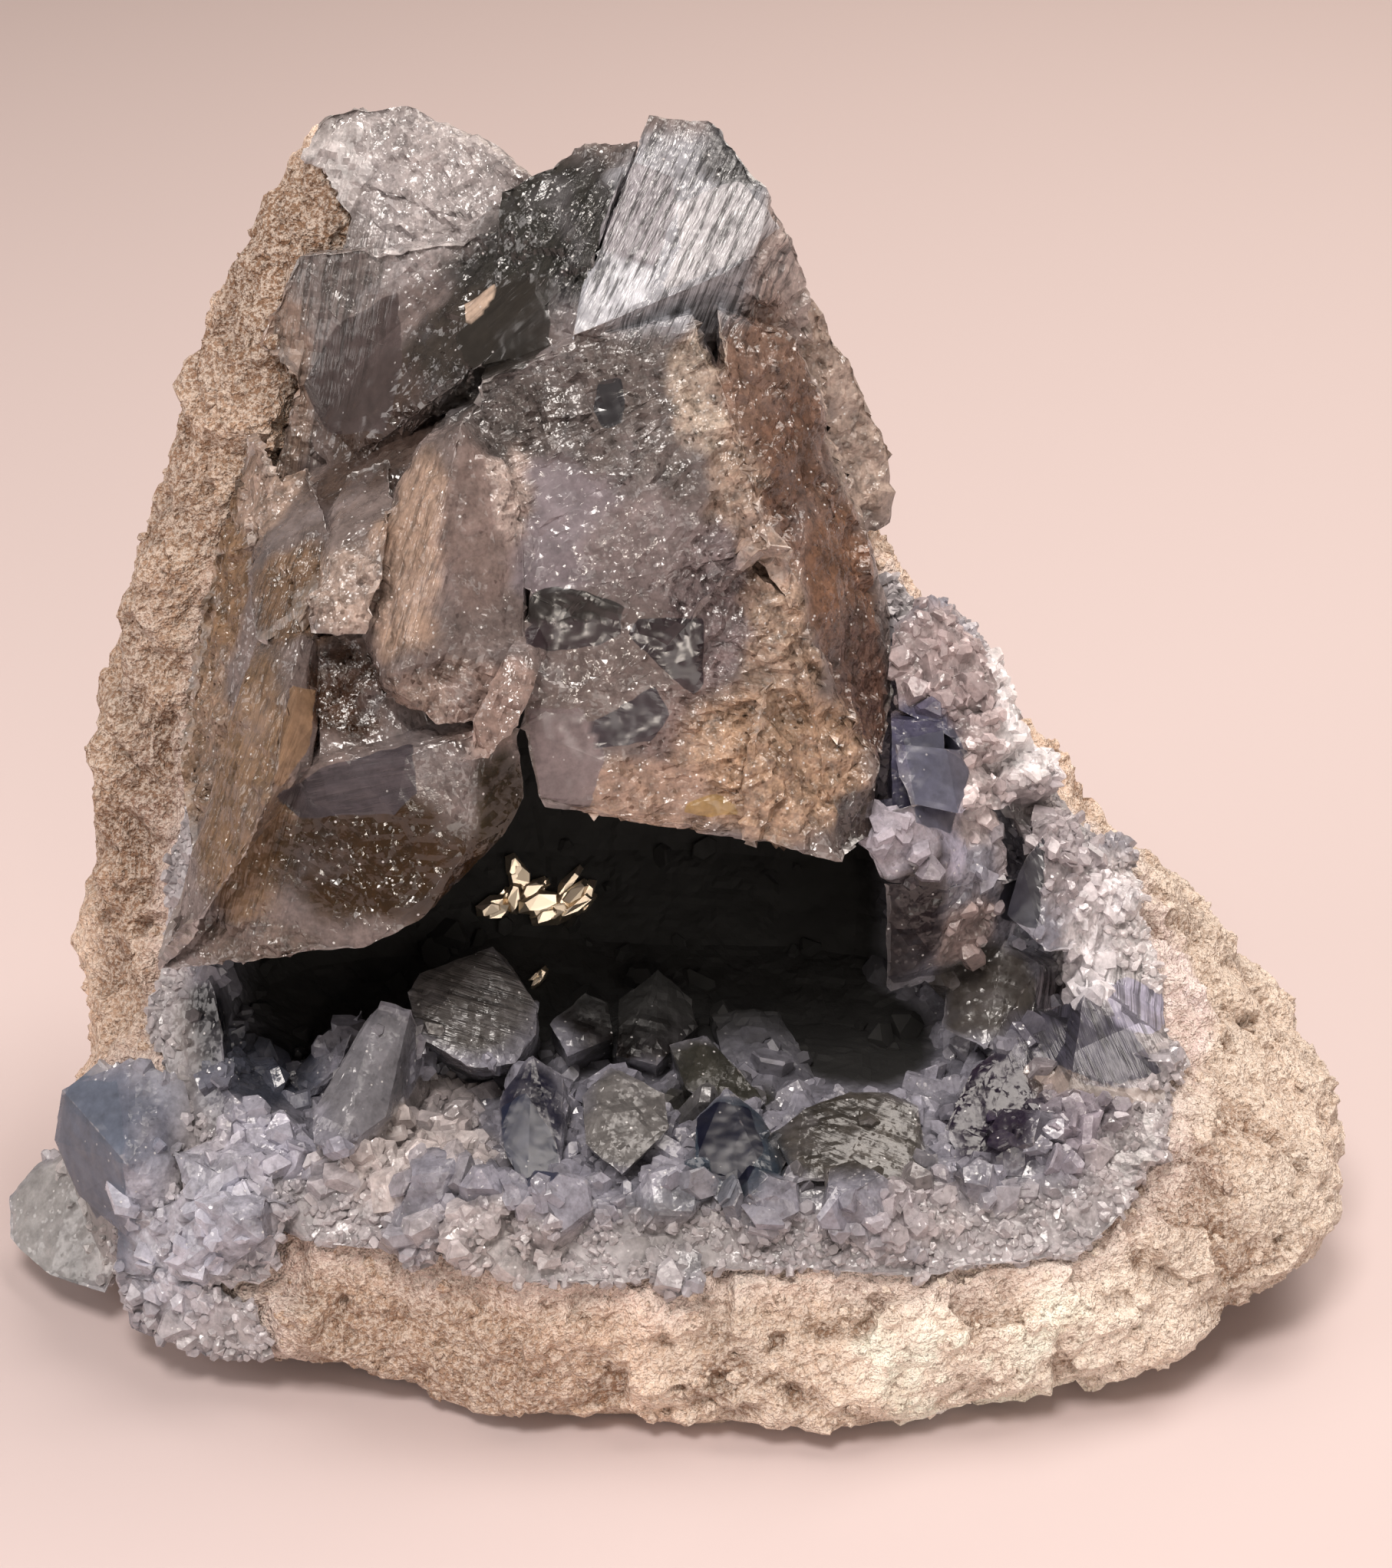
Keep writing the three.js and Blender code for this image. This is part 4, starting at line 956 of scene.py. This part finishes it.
def crumbs(host):
    """Loose looking crumbs that roughen the broken rock."""
    points, normals = host_places(host, 14500, 6)
    to_crust = each(points, lambda point: crust_surface.find_nearest(point * MM)[3] / MM)
    kept = (to_crust > 1.0) & (points[:, 2] > 2)
    draw = np.random.default_rng(12)
    size = 0.45 + 1.5 * draw.random(len(points)) ** 3
    tint = colour_places(points, ROCK_BASE, ROCK_PLACES)[0]
    grains = (points[kept], normals[kept], size[kept], tint[kept], 0 * size[kept])
    sow("rock_crumbs", "matrix", LIMESTONE, CRUMB_MOULDS, grains, 0.9, 0.3, 37)


# Shiny stained flakes in the hollow: where the sight line to each starts, its length and width, turn and lean
AMBER_FLAKES = [
    ((-17.6, 2, 33.1), 3.4, 2.4, 70, (0, 0)),
    ((-15, 2, 34.2), 3, 2, 30, (0.03, 0.02)),
    ((-12, 2, 33.8), 5, 1.8, 35, (-0.03, 0.02)),
    ((-14.2, 2, 31.2), 2.8, 1.6, 20, (0.03, -0.03)),
    ((-14.4, 0, 25.6), 2.2, 1, 50, (0, 0.02)),
    ((-17, 2, 36), 3, 2.4, 100, (0.14, 0.1)),
    ((-10.4, 2, 33.4), 3.6, 2.8, 60, (-0.16, 0.08)),
    ((-18.8, 2, 32.4), 2.8, 2.2, 10, (0.12, -0.12)),
    ((-14, 2, 32.6), 4.4, 3.4, 10, (0.16, 0.1)),
]


def amber_glints():
    """Flakes on the back wall of the hollow, most of them turned so that they flash."""
    draw = random.Random(3)
    shape = bmesh.new()
    sight = Vector((0, math.cos(CAMERA_ELEVATION), -math.sin(CAMERA_ELEVATION)))
    for start, length, width, turn, (lean_x, lean_z) in AMBER_FLAKES:
        walls = [surface.ray_cast(Vector(start) * MM, sight) for surface in (crust_surface, rock_surface)]
        wall = min((wall for wall in walls if wall[0]), key=lambda wall: wall[3])[0] - sight * 0.8 * MM
        for _ in range(3):
            shift = Vector([draw.uniform(-0.25, 0.25) * length * MM for _ in range(3)])
            lean = Vector((draw.uniform(-0.05, 0.05), 0, draw.uniform(-0.05, 0.05)))
            facing = Vector((0.08 + lean_x, -0.92, 0.38 + lean_z)) + lean
            axes = facing.to_track_quat("Z", "Y").to_matrix().to_4x4()
            spin = Matrix.Rotation(math.radians(turn + draw.uniform(-14, 14)), 4, "Z")
            shrink = Matrix.Diagonal((length * 0.95 * MM, width * 0.6 * MM, MM, 1))
            grown = Matrix.Translation(wall + shift) @ axes @ spin @ shrink
            bmesh.ops.create_cone(shape, cap_ends=True, segments=6, radius1=0.6, radius2=0.4, depth=0.8, matrix=grown)
    for corner in shape.verts:
        corner.co += Vector([draw.uniform(-0.25, 0.25) * MM, 0, draw.uniform(-0.25, 0.25) * MM])
    new_piece(shape, "amber_glints", "crystal_crust", AMBER)


rind_mesh = limestone_rind()
crystal_piece("crown_crystals", "smoky_crown", SMOKY, CROWN_EDGE, CROWN_SHARDS, CROWN_BASE,
              CROWN_PLACES, CROWN_WINDOWS, CROWN_STRIAE, 11)
crust_mesh = crystal_piece("crystal_crust", "celestite_lining", BLUE, CRUST_EDGE, CRUST_SHARDS, CRUST_BASE,
                           CRUST_PLACES, CRUST_WINDOWS, CRUST_STRIAE, 23)
druse(crust_mesh)
crumbs(rind_mesh)
amber_glints()


# Studio
def area_light(name, place, aim, size, power, colour):
    """A square lamp at a place in millimetres, facing its aim."""
    data = bpy.data.lights.new(name, "AREA")
    data.size = size * MM
    data.energy = power
    data.color = colour
    lamp = bpy.data.objects.new(name, data)
    lamp.location = Vector(place) * MM
    lamp.rotation_euler = (Vector(place) - Vector(aim)).to_track_quat("Z", "Y").to_euler()
    bpy.context.scene.collection.objects.link(lamp)


MIDDLE = (0, 0, 55)
area_light("key", (-92, -352, 644), MIDDLE, 210, 3.6, (1.0, 0.93, 0.88))
area_light("overhead", (260, 160, 700), MIDDLE, 500, 4.5, (1.0, 0.92, 0.86))
area_light("left fill", (-520, -200, 260), MIDDLE, 300, 1.0, (1.0, 0.93, 0.9))
area_light("front fill", (260, -520, 150), MIDDLE, 260, 0.5, (1.0, 0.92, 0.86))
area_light("far room", (200, 620, 480), (60, 480, 0), 400, 1.1, (1.0, 0.84, 0.7))
area_light("sparkle", (40, -420, 170), (0, 0, 35), 40, 0.2, (1.0, 0.9, 0.8))

world = bpy.data.worlds.new("soft room")
world.use_nodes = True
world.node_tree.nodes["Background"].inputs["Color"].default_value = (0.88, 0.76, 0.66, 1)
world.node_tree.nodes["Background"].inputs["Strength"].default_value = 0.3
bpy.context.scene.world = world

floor_shape = bmesh.new()
bmesh.ops.create_grid(floor_shape, x_segments=2, y_segments=2, size=3)
floor_mesh = bpy.data.meshes.new("floor")
floor_shape.to_mesh(floor_mesh)
floor_shape.free()
floor_paint = bpy.data.materials.new("pale floor")
floor_paint.use_nodes = True
floor_paint.node_tree.nodes["Principled BSDF"].inputs["Base Color"].default_value = (0.56, 0.467, 0.46, 1)
floor_paint.node_tree.nodes["Principled BSDF"].inputs["Roughness"].default_value = 0.8
floor_mesh.materials.append(floor_paint)
floor = bpy.data.objects.new("floor", floor_mesh)
bpy.context.scene.collection.objects.link(floor)

lens = bpy.data.cameras.new("camera")
lens.sensor_width = 36
lens.lens = 18 / math.tan(CAMERA_HALF_VIEW)
camera = bpy.data.objects.new("camera", lens)
back = Vector((0, -math.cos(CAMERA_ELEVATION), math.sin(CAMERA_ELEVATION)))
camera.location = (CAMERA_TARGET + back * CAMERA_DISTANCE) * MM
camera.rotation_euler = back.to_track_quat("Z", "Y").to_euler()
lens.clip_start = 0.01
bpy.context.scene.collection.objects.link(camera)
bpy.context.scene.camera = camera
bpy.context.scene.view_settings.view_transform = "Standard"
